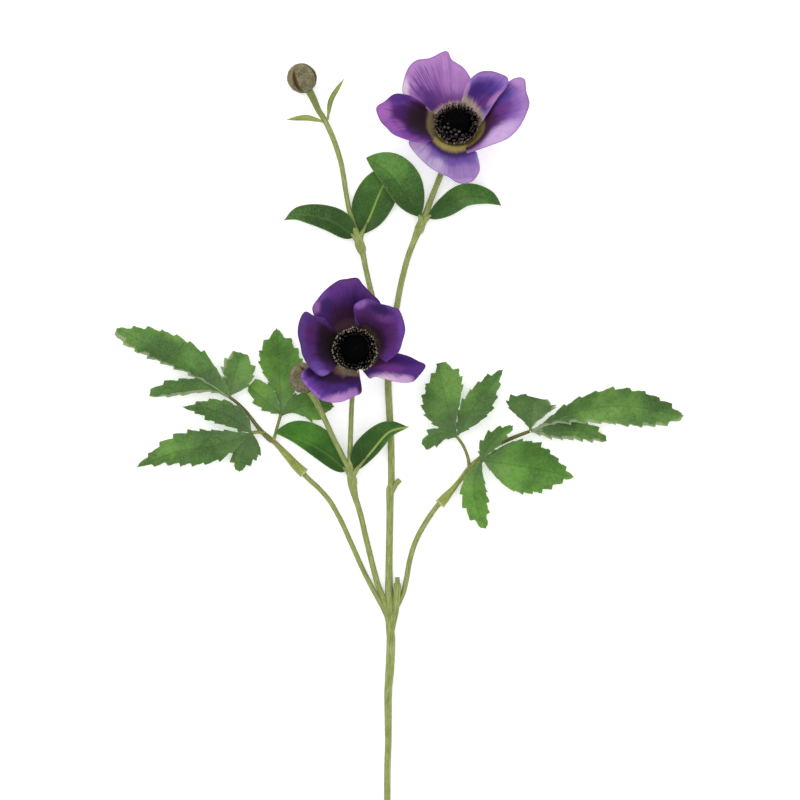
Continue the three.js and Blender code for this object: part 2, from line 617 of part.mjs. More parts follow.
// The two compound leaves: a stalk that is sleeved on the end of its branch, and three groups of
// toothed leaflets on it.
const COMPOUND = {
  left_leaf: {
    stalk: [
      [-46.8, 72, 3.2, 2.9],
      [-50.6, 75.4, 3.2, 2.6],
      [-57.5, 83, 3, 1.9],
      [-63.3, 89.2, 2.8, 1.35],
      [-66, 91, 2.8, 1.6],
      [-72, 96.9, 2.9, 1.2],
      [-78.5, 105.4, 3.3, 0.95],
      [-83.4, 110.5, 3.8, 0.9],
      [-88.5, 114.5, 4.4, 0.9],
    ],
    twigs: [
      [[-64, 90.5, 2.8, 1.1], [-62.5, 96, 2.4, 0.85], [-60, 105, 2.4, 0.85]],
      [[-69, 94.5, 2.9, 1.1], [-72.5, 95, 3.7, 1], [-76.5, 94.5, 4.6, 0.9]],
    ],
    groups: {
      end: [
        {
          rib: [[-88.5, 114.5, 4.8], [-110, 130, 7.6], [-131, 142, 5.8], [-151, 152.5, 0.6]],
          wide: [6.8, 13], peak: [0.76, 0.44], fold: [20, 12], teeth: 9,
        },
        {
          rib: [[-88.5, 114.5, 4.6], [-99, 118.5, 5.2], [-116, 117, 4.2], [-133, 115, 1.2]],
          wide: [2, 8], peak: [0.6, 0.62], fold: [30, 10], teeth: 6,
        },
        {
          rib: [[-89, 114.5, 4.6], [-85.5, 126.5, 6], [-82, 139, 5]],
          wide: [8, 11], peak: [0.62, 0.54], fold: [8, 8], teeth: 5,
        },
      ],
      side: [
        {
          rib: [[-76, 94.5, 5], [-88, 103.5, 6.6], [-101, 108, 6], [-114.5, 109, 3.6]],
          wide: [7, 8.4], peak: [0.45, 0.35], slope: [2.2, 2.2], fold: [8, 8], teeth: 6,
        },
        {
          rib: [[-76, 94, 5], [-96.5, 87.5, 7.4], [-117.5, 84, 5.6], [-140, 75.5, 0.5]],
          wide: [9.6, 10.5], peak: [0.44, 0.48], slope: [2.5, 1.9], fold: [8, 8], teeth: 9,
        },
        {
          rib: [[-76, 94, 5], [-80.5, 84, 4.8], [-83, 73, 3]],
          wide: [9.5, 7], peak: [0.35, 0.5], fold: [8, 8], teeth: 5,
        },
      ],
      inner: [
        {
          rib: [[-60, 104.5, 2.6], [-61, 129, 3], [-62.5, 152.5, 1.2]],
          wide: [11.2, 13.8], peak: [0.63, 0.52], slope: [3.5, 2.4], fold: [4, 4], teeth: 8,
        },
        {
          rib: [[-60, 105, 2.6], [-67.5, 111.5, 3], [-78, 120.3, 2.4]],
          wide: [5.5, 9], peak: [0.55, 0.66], fold: [4, 4], teeth: 4,
        },
        {
          rib: [[-60, 104.5, 2.6], [-46, 109.5, 2.8], [-30.5, 109, 1.6]],
          wide: [8.3, 9], peak: [0.44, 0.6], slope: [1.7, 4], fold: [4, 4], teeth: 5,
        },
      ],
    },
  },
  right_leaf: {
    stalk: [
      [28, 55, 3.2, 2.8],
      [31, 58.5, 3.2, 2.5],
      [35, 63, 3, 1.7],
      [39, 68, 2.8, 1.3],
      [44.5, 75, 2.8, 1.5],
      [49, 79.5, 2.9, 1.2],
      [57, 86, 3.2, 1.1],
      [66.5, 91, 3.8, 1.1],
      [78, 95.5, 4.6, 0.9],
    ],
    twigs: [
      [[44.5, 75, 2.8, 1.1], [43.5, 81.5, 3.2, 0.85], [41, 87.5, 3.8, 0.85], [37.5, 92.5, 4.4, 0.85]],
      [[46, 76.5, 2.9, 1], [49, 78, 4.8, 0.95], [51.5, 79, 6.4, 0.85]],
    ],
    groups: {
      end: [
        {
          rib: [[78.5, 95.5, 5], [97.5, 104.5, 7.4], [121, 109.2, 7.8], [143, 108, 5.4], [163.5, 104, 0.5]],
          wide: [10.4, 11.2], peak: [0.58, 0.64], slope: [2.6, 2.2], fold: [8, 12], teeth: 11,
        },
        {
          rib: [[78.5, 95.5, 5], [92, 96, 5.6], [106.5, 95.5, 4.4], [120.5, 90, 2]],
          wide: [6, 6], peak: [0.6, 0.5], fold: [8, 8], teeth: 7,
        },
        {
          rib: [[78.2, 96, 5], [78.4, 104, 7.4], [79, 110, 8.4], [80, 114.3, 8.8]],
          wide: [14.3, 13], peak: [0.63, 0.7], slope: [2.2, 1.7], tip: [6, 8], fold: [4, 8], teeth: 6,
        },
      ],
      side: [
        {
          rib: [[51.5, 79.5, 6.8], [68, 77, 8.2], [85, 74, 5.8], [102.5, 70, 0.5]],
          wide: [15.3, 15.3], peak: [0.44, 0.46], slope: [2.3, 2.3], fold: [5, 5], teeth: 10,
        },
        {
          rib: [[51.5, 79.5, 6.8], [54, 86.5, 8.4], [60.5, 93.5, 9], [68.5, 98.5, 8.2]],
          wide: [5.2, 5.2], peak: [0.45, 0.5], fold: [8, 8], teeth: 5,
        },
        {
          rib: [[51, 79, 6.8], [47, 67.5, 6.8], [48.5, 54.5, 5.2], [53.5, 41.5, 2.4]],
          wide: [7.5, 8], peak: [0.5, 0.5], fold: [8, 8], teeth: 6,
        },
      ],
      inner: [
        {
          rib: [[37.5, 93, 4.8], [33, 107, 7], [29.5, 120, 7], [27, 133, 4.4]],
          wide: [14.2, 12], peak: [0.42, 0.68], slope: [2.5, 2.2], tip: [1, 3.5], fold: [6, 6], teeth: 8,
        },
        {
          rib: [[38, 93.5, 4.8], [45, 106, 6.6], [53.5, 117.5, 6.4], [63, 129.5, 4]],
          wide: [8, 9.4], peak: [0.48, 0.45], slope: [1.7, 2.2], fold: [6, 6], teeth: 7,
        },
        {
          rib: [[37.5, 92.5, 4.8], [28, 94, 5.2], [18, 88.5, 4]],
          wide: [6, 4.5], peak: [0.64, 0.5], fold: [6, 6], teeth: 4,
        },
      ],
    },
  },
};
for (const [name, { stalk: route, twigs, groups }] of Object.entries(COMPOUND)) {
  const build = (grow) => join([stalk(route, 7, grow), ...twigs.map((twig) => stalk(twig, 5, grow))]);
  addNode(`${name}_stalk`, build(0).subtract(aroundStem), STALK_GREEN);
  const aroundStalk = build(ROOM);
  for (const [place, leaflets] of Object.entries(groups)) {
    const blades = join(leaflets.map((leaflet) => leafSolid(leaflet, [-1, 0, 1])));
    addNode(`${name}_blade_${place}`, blades.subtract(aroundStalk).subtract(aroundStem), LEAF_GREEN);
  }
}

addNode("stem", stemBranches(0).subtract(budRoom), STEM_GREEN);

export default group;
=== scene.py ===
"""The finished look of a cut anemone spray that lies on a flat surface.

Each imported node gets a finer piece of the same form: petals, flower centres, buds, leaves, leaf
stalks and the branching stem. Sizes are millimetres from the fork, the point where the four stalks
leave the stem, until make_piece turns them into metres in the part's frame.
"""
import math
import random

import bpy
from mathutils import Matrix, Vector, noise


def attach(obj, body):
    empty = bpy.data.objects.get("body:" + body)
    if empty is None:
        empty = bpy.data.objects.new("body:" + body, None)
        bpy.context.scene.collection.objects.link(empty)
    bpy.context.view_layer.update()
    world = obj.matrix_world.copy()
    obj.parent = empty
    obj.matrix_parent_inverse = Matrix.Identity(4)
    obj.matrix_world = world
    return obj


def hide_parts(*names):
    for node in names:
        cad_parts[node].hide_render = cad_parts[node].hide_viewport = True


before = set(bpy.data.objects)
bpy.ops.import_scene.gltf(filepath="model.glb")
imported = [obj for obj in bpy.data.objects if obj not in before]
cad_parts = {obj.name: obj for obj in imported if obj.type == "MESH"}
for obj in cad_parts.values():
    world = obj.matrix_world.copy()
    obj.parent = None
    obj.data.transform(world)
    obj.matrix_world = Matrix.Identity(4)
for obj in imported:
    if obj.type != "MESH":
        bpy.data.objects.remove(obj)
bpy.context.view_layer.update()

# Driving dimensions, in millimetres
MM = 0.001
FORK = Vector((-6, -64, 0))
PETAL_THICK = 0.45
LEAF_THICK = 0.45
BUD_R = 8.1
BUD_LONG = 1.02
TUBE_STEP = 1.2  # distance between the rings of a stalk
SHARP = 50  # edges sharper than this, in degrees, are shaded hard

FULL_TURN = 2 * math.pi
UP = Vector((0, 0, 1))

# Routes of the stem's branches, [x, y, z, radius] from the fork, as in the solids. Only the stub at
# the fork differs: it starts lower, inside the stem, and its second radius is 0.1 mm larger.
STEM = {
    "main": [[-1, -177, 1.65, 1.8], [-1, -100, 1.65, 1.8], [-0.5, -79, 1.65, 1.8], [-0.5, -63.5, 1.8, 2],
             [-0.5, -49, 1.95, 2.15], [0.5, -35, 2.3, 2.45], [1, -20, 2.2, 2.4], [0.5, -13, 2.2, 2.3],
             [0.5, -3, 2.6, 2.8], [0, 9, 2.1, 2.2], [0, 23, 1.85, 1.95], [0.4, 46, 1.85, 1.9],
             [0.5, 60, 1.95, 2.1], [0.7, 63.5, 2.1, 2.2], [1.2, 67, 1.85, 1.85], [1.2, 84, 1.8, 1.85],
             [0.5, 101, 1.8, 1.9], [-0.5, 121, 1.8, 1.9], [0, 139.5, 1.9, 2.15], [4, 163, 1.7, 1.7],
             [6.6, 177, 1.7, 1.65], [10, 190.5, 1.9, 1.65], [14, 201.5, 2.4, 1.75], [17, 208.5, 2.9, 2.5],
             [19.5, 213.5, 3.3, 2.2], [22.5, 222, 3.4, 1.65], [27, 233.5, 3.3, 1.6], [32.5, 247.5, 3, 1.7],
             [35, 255.5, 4.2, 1.75], [36.5, 260, 8.4, 2.1], [37, 262.5, 12.6, 5.2]],
    "bud": [[0, 137, 1.8, 1.4], [-4, 150, 1.7, 1.5], [-10, 173, 1.7, 1.5], [-13, 186, 1.9, 1.5],
            [-14.5, 193.5, 2.3, 1.7], [-16, 198, 2.7, 2.7], [-17.5, 203.5, 2.8, 2.1],
            [-19.5, 209, 2.8, 1.6], [-22.7, 221, 2.6, 1.35], [-25.4, 237.5, 2.8, 1.4],
            [-27, 245.5, 3.1, 1.45], [-30.5, 256.5, 3.7, 1.5], [-35.5, 267.5, 4.4, 1.5],
            [-39, 273, 5.2, 1.65], [-41.5, 278.5, 5.9, 1.9], [-44, 283.5, 6.8, 2.2]],
    "middle": [[0, -10.5, 2.4, 1.6], [-2, -1, 2.6, 1.7], [-4.5, 6, 2.5, 1.65], [-7, 13, 2.4, 1.6],
               [-12.5, 35, 2.6, 1.55], [-15, 46, 3.1, 1.55], [-17, 53.5, 3.6, 1.6], [-18.8, 59, 4, 1.75],
               [-20.4, 66.5, 4.8, 2.5], [-21, 73, 5.6, 2.2], [-21.5, 84, 6.7, 1.5], [-20.5, 112, 8.4, 1.35],
               [-19.5, 124, 9.2, 1.5], [-19, 134, 11.4, 1.7], [-18.5, 139, 15.4, 2.1],
               [-18.5, 140.5, 19.6, 5.2]],
    "side_bud": [[-22, 74, 5.6, 1.5], [-27.4, 85, 6.8, 1.5], [-30.5, 91, 7.4, 1.5], [-35, 101, 8.8, 1.55],
                 [-40, 111.5, 10.4, 1.8], [-43.5, 117.5, 11.4, 2.2]],
    "left": [[-0.5, -11, 2.4, 1.3], [-2.3, -4.5, 2.2, 1.4], [-9.3, 8.5, 1.8, 1.4], [-14.4, 18.5, 1.6, 1.35],
             [-24.2, 40.5, 1.8, 1.35], [-27, 46.5, 2, 1.35], [-32.7, 56.5, 2.3, 1.35],
             [-38.6, 63.5, 2.7, 1.35], [-44.6, 69, 3, 1.35], [-49.5, 74.3, 3.2, 1.3]],
    "right": [[1.5, -11, 2.4, 1.3], [3, -4.5, 2.2, 1.45], [8.3, 7.5, 1.8, 1.45], [11.5, 24, 1.7, 1.45],
              [15, 35, 1.8, 1.45], [21, 46, 2.2, 1.45], [27.5, 55, 2.9, 1.4], [32, 59, 3.2, 1.3]],
    "fork_stub": [[1.4, -18, 2.3, 1], [3, -8, 3, 1.6], [4, 0, 3.8, 2], [4.5, 7.5, 4.2, 2.1],
                  [4.5, 11, 4.4, 2], [4.7, 11.5, 4.4, 1.35], [4.6, 14.6, 4.6, 1.3]],
    "upper_stub": [[1.5, 61.5, 2.4, 1.3], [3.5, 65.8, 2.9, 1.5], [6, 68.5, 3.4, 1.5]],
}

# Petals and leaves, as in the solids
OUTER = 0.8
INNER = 2.1
CLAW_AT = 4
CLAW_HALF = 1.7
FLOOR_R = 11.5
BELLY_SLOPE = 3
LEAF_SLOPE = 1.7
TOOTH = 1.1
NECK = 0.8
TIP = 0.25
BLUNTING = 4
TOOTH_AT = 0.72
THIN_TOOTH = 0.3

# Flowers. seat and axis are as in the solids. back is the colour under the petals. boss, spread and
# size are those of the centre, light its brightest tone, drift how far its stamens stray sideways,
# in x and y, for each millimetre of their height, and knobs how many glossy heads it has.
FLOWERS = {
    "top_flower": dict(
        seat=(37, 262.5, 12.6), axis=(-0.05, 0.4, 0.91), slot="top_petal", back=(150, 120, 184),
        boss=7.2, spread=1, size=1.3, light=(116, 102, 92), drift=(0.05, -0.2), knobs=11,
    ),
    "middle_flower": dict(
        seat=(-18.5, 140.5, 19.6), axis=(0.08, 0.1, 0.99), slot="middle_petal", back=(86, 58, 134),
        boss=6.8, spread=0.96, size=1, light=(170, 158, 138), drift=(-0.1, -0.13), knobs=0,
    ),
}

# Petals. level, rise, belly and edge are as in the solids. zones colour a petal from its claw to its
# rim as [share of the way, colour]; their dark bands near the centre and their pale rims are partly
# painted shade and painted highlight. rings are [colour, radius, radius where it has faded], discs
# round the stamens, and ragged is how far their edge strays. spots are [x, y, half width, half
# length, turn in degrees, colour, strength], from the flower's seat as seen from above; besides
# blotches of colour they hold painted highlights on lit rims, ridges and folded margins, and painted
# shade in folds and near the centre. lines are [across, half width, start, end, colour, strength],
# where across is -1 at the left margin and 1 at the right one.
PETALS_EACH = 5
PETALS = {
    "top_flower_petal_north": dict(
        level=(OUTER, OUTER), rise=1.3, belly=(0, 0.5), ragged=6,
        edge=[[-20, 14.5, 6], [-28.5, 18, 11], [-29.5, 24, 13], [-26.5, 33, 16], [-22, 37.8, 17],
              [-14.5, 39.3, 16], [-5.5, 43.3, 13.5], [-2.5, 38, 15], [4, 33.5, 15], [8, 27, 12.5],
              [10, 20.5, 7], [6.5, 13.5, 3]],
        zones=[(0, (150, 115, 130)), (0.35, (112, 64, 136)), (0.55, (142, 92, 170)), (0.8, (174, 126, 198)),
               (1, (184, 140, 206))],
        rings=[((204, 182, 178), 13.5, 17)],
        dye_and_light_spots=[(-1, 27, 8, 9, 0, (186, 140, 208), 0.8), (-18.5, 20, 5, 4, -35, (98, 60, 142), 0.7),
               (-13.5, 16.5, 5, 4.5, -40, (92, 48, 120), 0.75), (-14.5, 12, 4, 4, 0, (84, 42, 104), 0.8),
               (-6, 36, 2, 5, 0, (196, 152, 216), 0.7), (-29, 21.5, 3.4, 7, -5, (228, 214, 236), 0.95)],
        lines=[(-0.38, 0.42, 0.3, 0.97, (82, 50, 140), 0.7), (0.4, 0.5, 0.25, 0.6, (120, 74, 156), 0.5)],
    ),
    "top_flower_petal_south": dict(
        level=(OUTER, OUTER), rise=1.4, belly=(5, 0.3), ragged=0.8,
        edge=[[11, -14, 2], [12.5, -20, -2], [12.5, -24.5, -7], [9.5, -28.5, -12], [4.5, -30, -14],
              [-0.5, -29, -13.5], [-4.5, -26.5, -11], [-8.5, -24.8, -9.5], [-17, -19.5, -4], [-25, -11, 1],
              [-25, -7.2, 4], [-13.5, -5.5, 3]],
        zones=[(0, (165, 155, 80)), (0.5, (150, 138, 75)), (0.56, (70, 44, 108)), (0.66, (104, 76, 166)),
               (0.82, (142, 112, 190)), (1, (176, 150, 210))],
        # The first ring is a painted shadow along the crease where the petal folds down.
        rings=[((58, 34, 88), 17.2, 19.6), ((150, 138, 72), 15.4, 17.3), ((180, 168, 98), 13.5, 15.8)],
        dye_and_light_spots=[(0, -19, 10, 3, -5, (108, 78, 166), 0.75), (-20.5, -13, 7, 5.5, -40, (196, 176, 224), 0.95),
               (-11, -20.5, 7, 4, -25, (196, 178, 224), 0.9), (5, -24.5, 8, 5, 0, (166, 134, 202), 0.8),
               (5, -29, 7, 1.6, 0, (190, 162, 218), 0.7)],
        lines=[(0.1, 0.8, 0.62, 0.98, (116, 90, 172), 0.25)],
    ),
    "top_flower_petal_south_east": dict(
        level=(OUTER, INNER), rise=1.2, belly=(2, 0.5), ragged=1,
        edge=[[13, 5, 3], [20.5, 14.5, 8], [26.5, 23, 13], [31.5, 27, 16], [37, 26.5, 19], [38, 19, 18.5],
              [39.5, 11.5, 18], [35, 1, 17], [29, -6, 12], [21.5, -9.5, 9], [13, -12.5, 8], [5.5, -15, 8]],
        zones=[(0, (140, 130, 70)), (0.36, (64, 30, 50)), (0.48, (76, 34, 88)), (0.62, (100, 56, 140)),
               (0.85, (140, 104, 186)), (1, (172, 138, 206))],
        rings=[((60, 28, 58), 17.5, 21), ((150, 136, 76), 15, 17)],
        dye_and_light_spots=[(34, 24.5, 4.5, 3, 0, (182, 142, 204), 0.85), (26, 16.5, 4.5, 3.5, 20, (86, 72, 166), 0.85),
               (24, 10, 7, 3.5, 20, (102, 54, 138), 0.8), (18, 6, 5, 4, 20, (70, 30, 80), 0.85),
               (38, 12.5, 3, 5, 0, (152, 124, 182), 0.8), (24, -4.5, 13, 5, 34, (204, 176, 228), 0.95),
               (9, -13, 5, 2.5, 35, (168, 118, 192), 0.85)],
        lines=[(-0.5, 0.5, 0.4, 0.9, (84, 56, 150), 0.6)],
    ),
    "top_flower_petal_west": dict(
        level=(INNER, INNER), rise=1.1, belly=(4, 0.45), ragged=1,
        edge=[[-17.5, -9.5, 10], [-25, -8.6, 14], [-34, -4.9, 16], [-38.5, -0.5, 16], [-42, 3.5, 16],
              [-44, 10.5, 16], [-39.5, 14, 17.5], [-34.5, 18, 19], [-28, 17.5, 19], [-22.5, 15.5, 17],
              [-17.5, 11, 12], [-13, 9, 6]],
        zones=[(0, (110, 95, 60)), (0.36, (60, 36, 38)), (0.5, (44, 17, 42)), (0.68, (72, 30, 96)),
               (0.85, (110, 62, 150)), (1, (150, 96, 180))],
        rings=[((148, 134, 96), 14.6, 17.4)],
        dye_and_light_spots=[(-33, 0.5, 7, 3.5, -28, (152, 90, 178), 0.85), (-26, -5.5, 5, 2.5, -20, (124, 66, 156), 0.8),
               (-31, 15.5, 8, 3, 5, (76, 42, 126), 0.9), (-40, 8.5, 5, 6, 0, (162, 106, 186), 0.85),
               (-30, 8, 5.5, 4.5, 0, (70, 26, 96), 0.85), (-24.5, -1.5, 3, 4, 30, (58, 30, 106), 0.8),
               (-21, 4, 9, 9.5, 20, (38, 15, 34), 0.95)],
        lines=[(-0.3, 0.6, 0.5, 0.9, (70, 30, 104), 0.5)],
    ),
    "top_flower_petal_north_east": dict(
        level=(INNER, INNER), rise=1.2, belly=(2, 0.5), ragged=5,
        edge=[[2.5, 13.5, 5], [4, 18.5, 10], [5, 22.5, 15], [8, 26.8, 18.5], [12.5, 29.8, 20.5],
              [17.5, 30.8, 20.5], [23, 29.8, 20], [28, 26.8, 19], [27, 21.5, 18], [22.5, 16, 15],
              [18.5, 10, 11], [14, 3, 6]],
        zones=[(0, (205, 190, 180)), (0.38, (150, 115, 140)), (0.48, (104, 60, 140)), (0.65, (82, 52, 140)),
               (0.85, (112, 84, 172)), (1, (160, 126, 200))],
        rings=[((206, 190, 178), 13.8, 17.6)],
        dye_and_light_spots=[(14.5, 14, 5, 4, 20, (104, 56, 138), 0.85), (11.5, 20.5, 6.5, 4, 15, (68, 42, 130), 0.9),
               (18, 22.5, 4, 3.5, 30, (82, 56, 146), 0.8), (15, 29.5, 9, 2.2, 0, (160, 124, 198), 0.8),
               (5.5, 22.5, 2.2, 5.5, -10, (198, 148, 210), 0.85),
               (20.5, 15.5, 2, 6, -45, (190, 134, 198), 0.75)],
        lines=[(-0.1, 0.7, 0.35, 0.85, (58, 34, 116), 0.75)],
    ),
    "middle_flower_petal_north": dict(
        level=(OUTER, OUTER), rise=1.1, belly=(2, 0.5), ragged=4,
        edge=[[-15.5, 8, 6], [-21, 16, 13], [-23, 22, 18], [-20, 27, 20], [-15.5, 32.2, 21.5], [-9, 37, 22],
              [-4, 38, 22], [1.5, 38.5, 21], [4.5, 35, 19.5], [9.5, 30, 17.5], [14, 25, 15], [13, 18, 10],
              [8.5, 13, 4.5]],
        zones=[(0, (110, 90, 75)), (0.36, (70, 38, 52)), (0.5, (52, 20, 54)), (0.68, (66, 30, 104)),
               (0.85, (88, 50, 124)), (1, (102, 62, 138))],
        rings=[((96, 70, 84), 11.5, 18.5)],
        dye_and_light_spots=[(-10, 31, 6, 4, 20, (92, 48, 138), 0.7), (-19, 29, 6, 3, 40, (122, 74, 164), 0.7),
               (4, 32, 5, 5, -45, (86, 42, 126), 0.7), (-21.5, 22.5, 3, 4, -10, (158, 104, 184), 0.85),
               (-15, 23, 4, 5, 0, (52, 26, 98), 0.75), (-7, 20, 7, 4.5, 0, (48, 17, 46), 0.85)],
        lines=[(0, 0.8, 0.4, 0.9, (48, 20, 82), 0.5)],
    ),
    "middle_flower_petal_south_west": dict(
        level=(OUTER, OUTER), rise=1.2, belly=(3, 0.6), ragged=1.5,
        edge=[[2, -11.5, 1.5], [2.5, -15, 3], [3.5, -23.5, 9], [-1, -26, 12], [-6.5, -28.5, 14],
              [-13, -29, 15.5], [-18.5, -27.5, 16.5], [-23.5, -23, 16.5], [-28.5, -17, 16],
              [-28.5, -12.5, 15], [-23, -9, 10.5], [-15.5, -5.5, 4]],
        zones=[(0, (165, 150, 115)), (0.42, (120, 100, 90)), (0.5, (52, 22, 56)), (0.66, (60, 28, 92)),
               (0.82, (80, 42, 134)), (0.94, (104, 64, 156)), (1, (166, 122, 198))],
        rings=[((174, 154, 122), 13.8, 16.4)],
        dye_and_light_spots=[(-7, -21, 8, 3, 0, (76, 44, 132), 0.8), (-14, -15.5, 9, 3.2, -5, (44, 17, 52), 0.9),
               (-1.5, -17, 4, 3.5, 0, (54, 25, 80), 0.8), (-24, -12, 3.5, 3.5, 0, (42, 17, 60), 0.9),
               (-7, -28, 10, 4.2, 6, (192, 146, 212), 0.9), (-2, -24.5, 5, 3, 20, (166, 120, 196), 0.8),
               (3, -21.5, 1.6, 4, 0, (38, 18, 48), 0.85)],
        lines=[(0, 0.9, 0.5, 0.9, (46, 22, 84), 0.4)],
    ),
    "middle_flower_petal_south_east": dict(
        level=(OUTER, OUTER), rise=1.2, belly=(0, 0.5), ragged=1,
        edge=[[14, -1.5, 3], [22.5, -2, 7.5], [29.5, -4, 11.5], [34.5, -6.5, 13], [38.5, -9, 13],
              [35, -14.5, 10], [30.5, -18.1, 7], [21.5, -17.5, 5.5], [11.5, -15, 4], [8, -16, 3],
              [4.5, -12, 2]],
        zones=[(0, (70, 60, 50)), (0.35, (56, 24, 60)), (0.5, (84, 38, 108)), (0.75, (80, 40, 124)),
               (1, (84, 48, 134))],
        rings=[((90, 76, 58), 12, 14)],
        dye_and_light_spots=[(27, -6, 9, 3, -5, (58, 26, 106), 0.85), (20, -10.5, 8, 2.6, -5, (116, 56, 146), 0.6),
               (17, -17.5, 10, 4.6, -4, (224, 194, 234), 0.95),
               (27, -17.8, 5.5, 4, 0, (208, 172, 224), 0.9)],
        lines=[],
    ),
    "middle_flower_petal_west": dict(
        level=(INNER, INNER), rise=1.1, belly=(3, 0.5), ragged=2,
        edge=[[-11, -10, 7], [-15, -14, 13], [-19, -14.5, 17], [-24.5, -9.5, 20], [-28, -3.5, 22],
              [-29, 1.5, 23], [-30.5, 8.5, 24], [-29.5, 15.5, 24.5], [-26.5, 20, 24], [-22, 18, 21],
              [-16.5, 17, 16]],
        zones=[(0, (45, 30, 30)), (0.42, (34, 12, 30)), (0.6, (58, 24, 72)), (0.78, (80, 40, 120)),
               (0.92, (80, 50, 122)), (1, (94, 62, 136))],
        rings=[((66, 48, 40), 12.3, 14.6)],
        dye_and_light_spots=[(-28.5, 8, 3.5, 8, 0, (86, 56, 128), 0.8), (-23.5, 7, 4, 7, 0, (82, 29, 96), 0.75),
               (-20, -9.5, 4, 4.5, 30, (104, 74, 164), 0.8), (-17, -13, 3.5, 1.8, 0, (130, 102, 190), 0.8),
               (-17, 3, 4.5, 11, 0, (28, 9, 24), 0.95)],
        lines=[(0, 0.8, 0.5, 0.9, (52, 24, 92), 0.4)],
    ),
    "middle_flower_petal_east": dict(
        level=(INNER, INNER), rise=1.1, belly=(3, 0.5), ragged=1.5,
        edge=[[3, 12, 6], [0.5, 17, 12], [-0.5, 23, 19], [2, 25.5, 22.5], [7.5, 27, 23.5], [14, 24.5, 22.5],
              [20, 23, 21.5], [24.5, 20.5, 21], [27.3, 11.5, 20], [26, 4.5, 17.5], [23.5, -2, 13],
              [17, -7, 6.5]],
        zones=[(0, (60, 50, 40)), (0.38, (40, 16, 38)), (0.52, (66, 28, 80)), (0.7, (84, 38, 106)),
               (0.88, (90, 46, 128)), (1, (110, 70, 158))],
        rings=[((84, 72, 54), 12.4, 14.6)],
        dye_and_light_spots=[(16.5, 16.8, 6, 3, -12, (124, 68, 152), 0.6), (26, 11, 3, 8, 0, (108, 66, 156), 0.7),
               (20, -2.5, 5, 3.5, 30, (88, 46, 132), 0.7), (13.5, 5, 4, 6, 0, (44, 17, 44), 0.85),
               (14, 21.5, 6.5, 3, -20, (50, 26, 88), 0.95), (3, 24.5, 4, 3, 20, (150, 104, 192), 0.8)],
        lines=[(0.1, 0.8, 0.4, 0.85, (62, 26, 92), 0.4)],
    ),
}

# Buds. Their middles and axes are as in the solids. turn sets where the seams show.
BUDS = {
    "bud_top": dict(centre=(-48, 290.5, 7.5), axis=(-0.45, 0.86, 0.25), turn=-0.07),
    "bud_side": dict(centre=(-47, 125, 13.4), axis=(-0.4, 0.88, 0.25), turn=0.87),
}

# Leaves. Ribs and halves are as in the solids: the widest half width, where along the rib that is,
# and the fold in degrees, each for the left and the right half. tones run from dark to light.
BRIGHT = [(72, 118, 40), (90, 142, 50), (110, 162, 60)]
MIDDLE_GREEN = [(66, 104, 46), (84, 128, 54), (106, 150, 66)]
DEEP = [(40, 76, 26), (54, 98, 34), (72, 118, 46)]
GLOSSY = [(54, 98, 34), (68, 116, 42), (88, 138, 54)]
CLEAN = [(52, 104, 24), (62, 118, 30), (78, 136, 42)]
SMOOTH_LEAVES = {
    "bud_leaf_left": dict(
        rib=[[-19.5, 203.5, 2.8], [-31.5, 211.5, 4.6], [-48.5, 215.5, 3.8], [-58.5, 212.5, 1.6]],
        wide=(6, 8), peak=(0.3, 0.3), fold=(14, 14),
        tones=DEEP, vein=((104, 130, 72), 0.25), bloom=0.38,
    ),
    "bud_leaf_right": dict(
        rib=[[-15.5, 204, 2.6], [-10.5, 214.5, 2.4], [-4, 230, 2.2], [3.5, 242, 1.2]],
        wide=(12.5, 10), peak=(0.5, 0.6), fold=(6, 6),
        tones=[(52, 92, 34), (66, 112, 42), (84, 134, 52)], vein=((150, 172, 84), 0.95), bloom=0.3,
    ),
    "top_leaf_left": dict(
        rib=[[17.5, 214, 5.4], [10, 224, 8], [0.5, 237, 9.4], [-12.5, 246.5, 7.6]],
        wide=(7, 13.2), peak=(0.5, 0.55), fold=(12, 8),
        tones=GLOSSY, vein=((46, 72, 34), 0.35), bloom=0.38,
    ),
    "top_leaf_right": dict(
        rib=[[21.5, 214, 4.6], [31.5, 219.8, 6.4], [42, 225.2, 6.8], [53.5, 224.5, 5], [62, 220.5, 2.2]],
        wide=(7, 6), peak=(0.48, 0.35), fold=(14, 14),
        tones=GLOSSY, vein=((52, 80, 38), 0.3), bloom=0.38,
    ),
    "middle_leaf_left": dict(
        rib=[[-23.5, 74, 4.6], [-37, 84.5, 3.8], [-51, 91.5, 4], [-63.5, 94.5, 4.8]],
        wide=(5.5, 11.5), peak=(0.26, 0.5), fold=(8, 4),
        tones=CLEAN, vein=((104, 146, 64), 0.3), bloom=0.1,
    ),
    "middle_leaf_right": dict(
        rib=[[-18.5, 73.5, 6.6], [-9.5, 84.5, 8.2], [0, 95, 9.2], [11, 98, 8.6]],
        wide=(10, 3.5), peak=(0.33, 0.45), fold=(8, 8),
        tones=DEEP, vein=((158, 180, 92), 0.95), bloom=0.16,
    ),
}
BRACTS = {
    "bract_left": dict(rib=[[-36.5, 267, 4.4], [-46, 269, 4.8], [-56.5, 268, 3.8]],
                       wide=(1.6, 1.5), peak=(0.5, 0.5), fold=(12, 12)),
    "bract_right": dict(rib=[[-34, 268, 4.4], [-32, 279, 5], [-25, 290.5, 4]],
                        wide=(1.4, 1.4), peak=(0.55, 0.5), fold=(12, 12)),
}

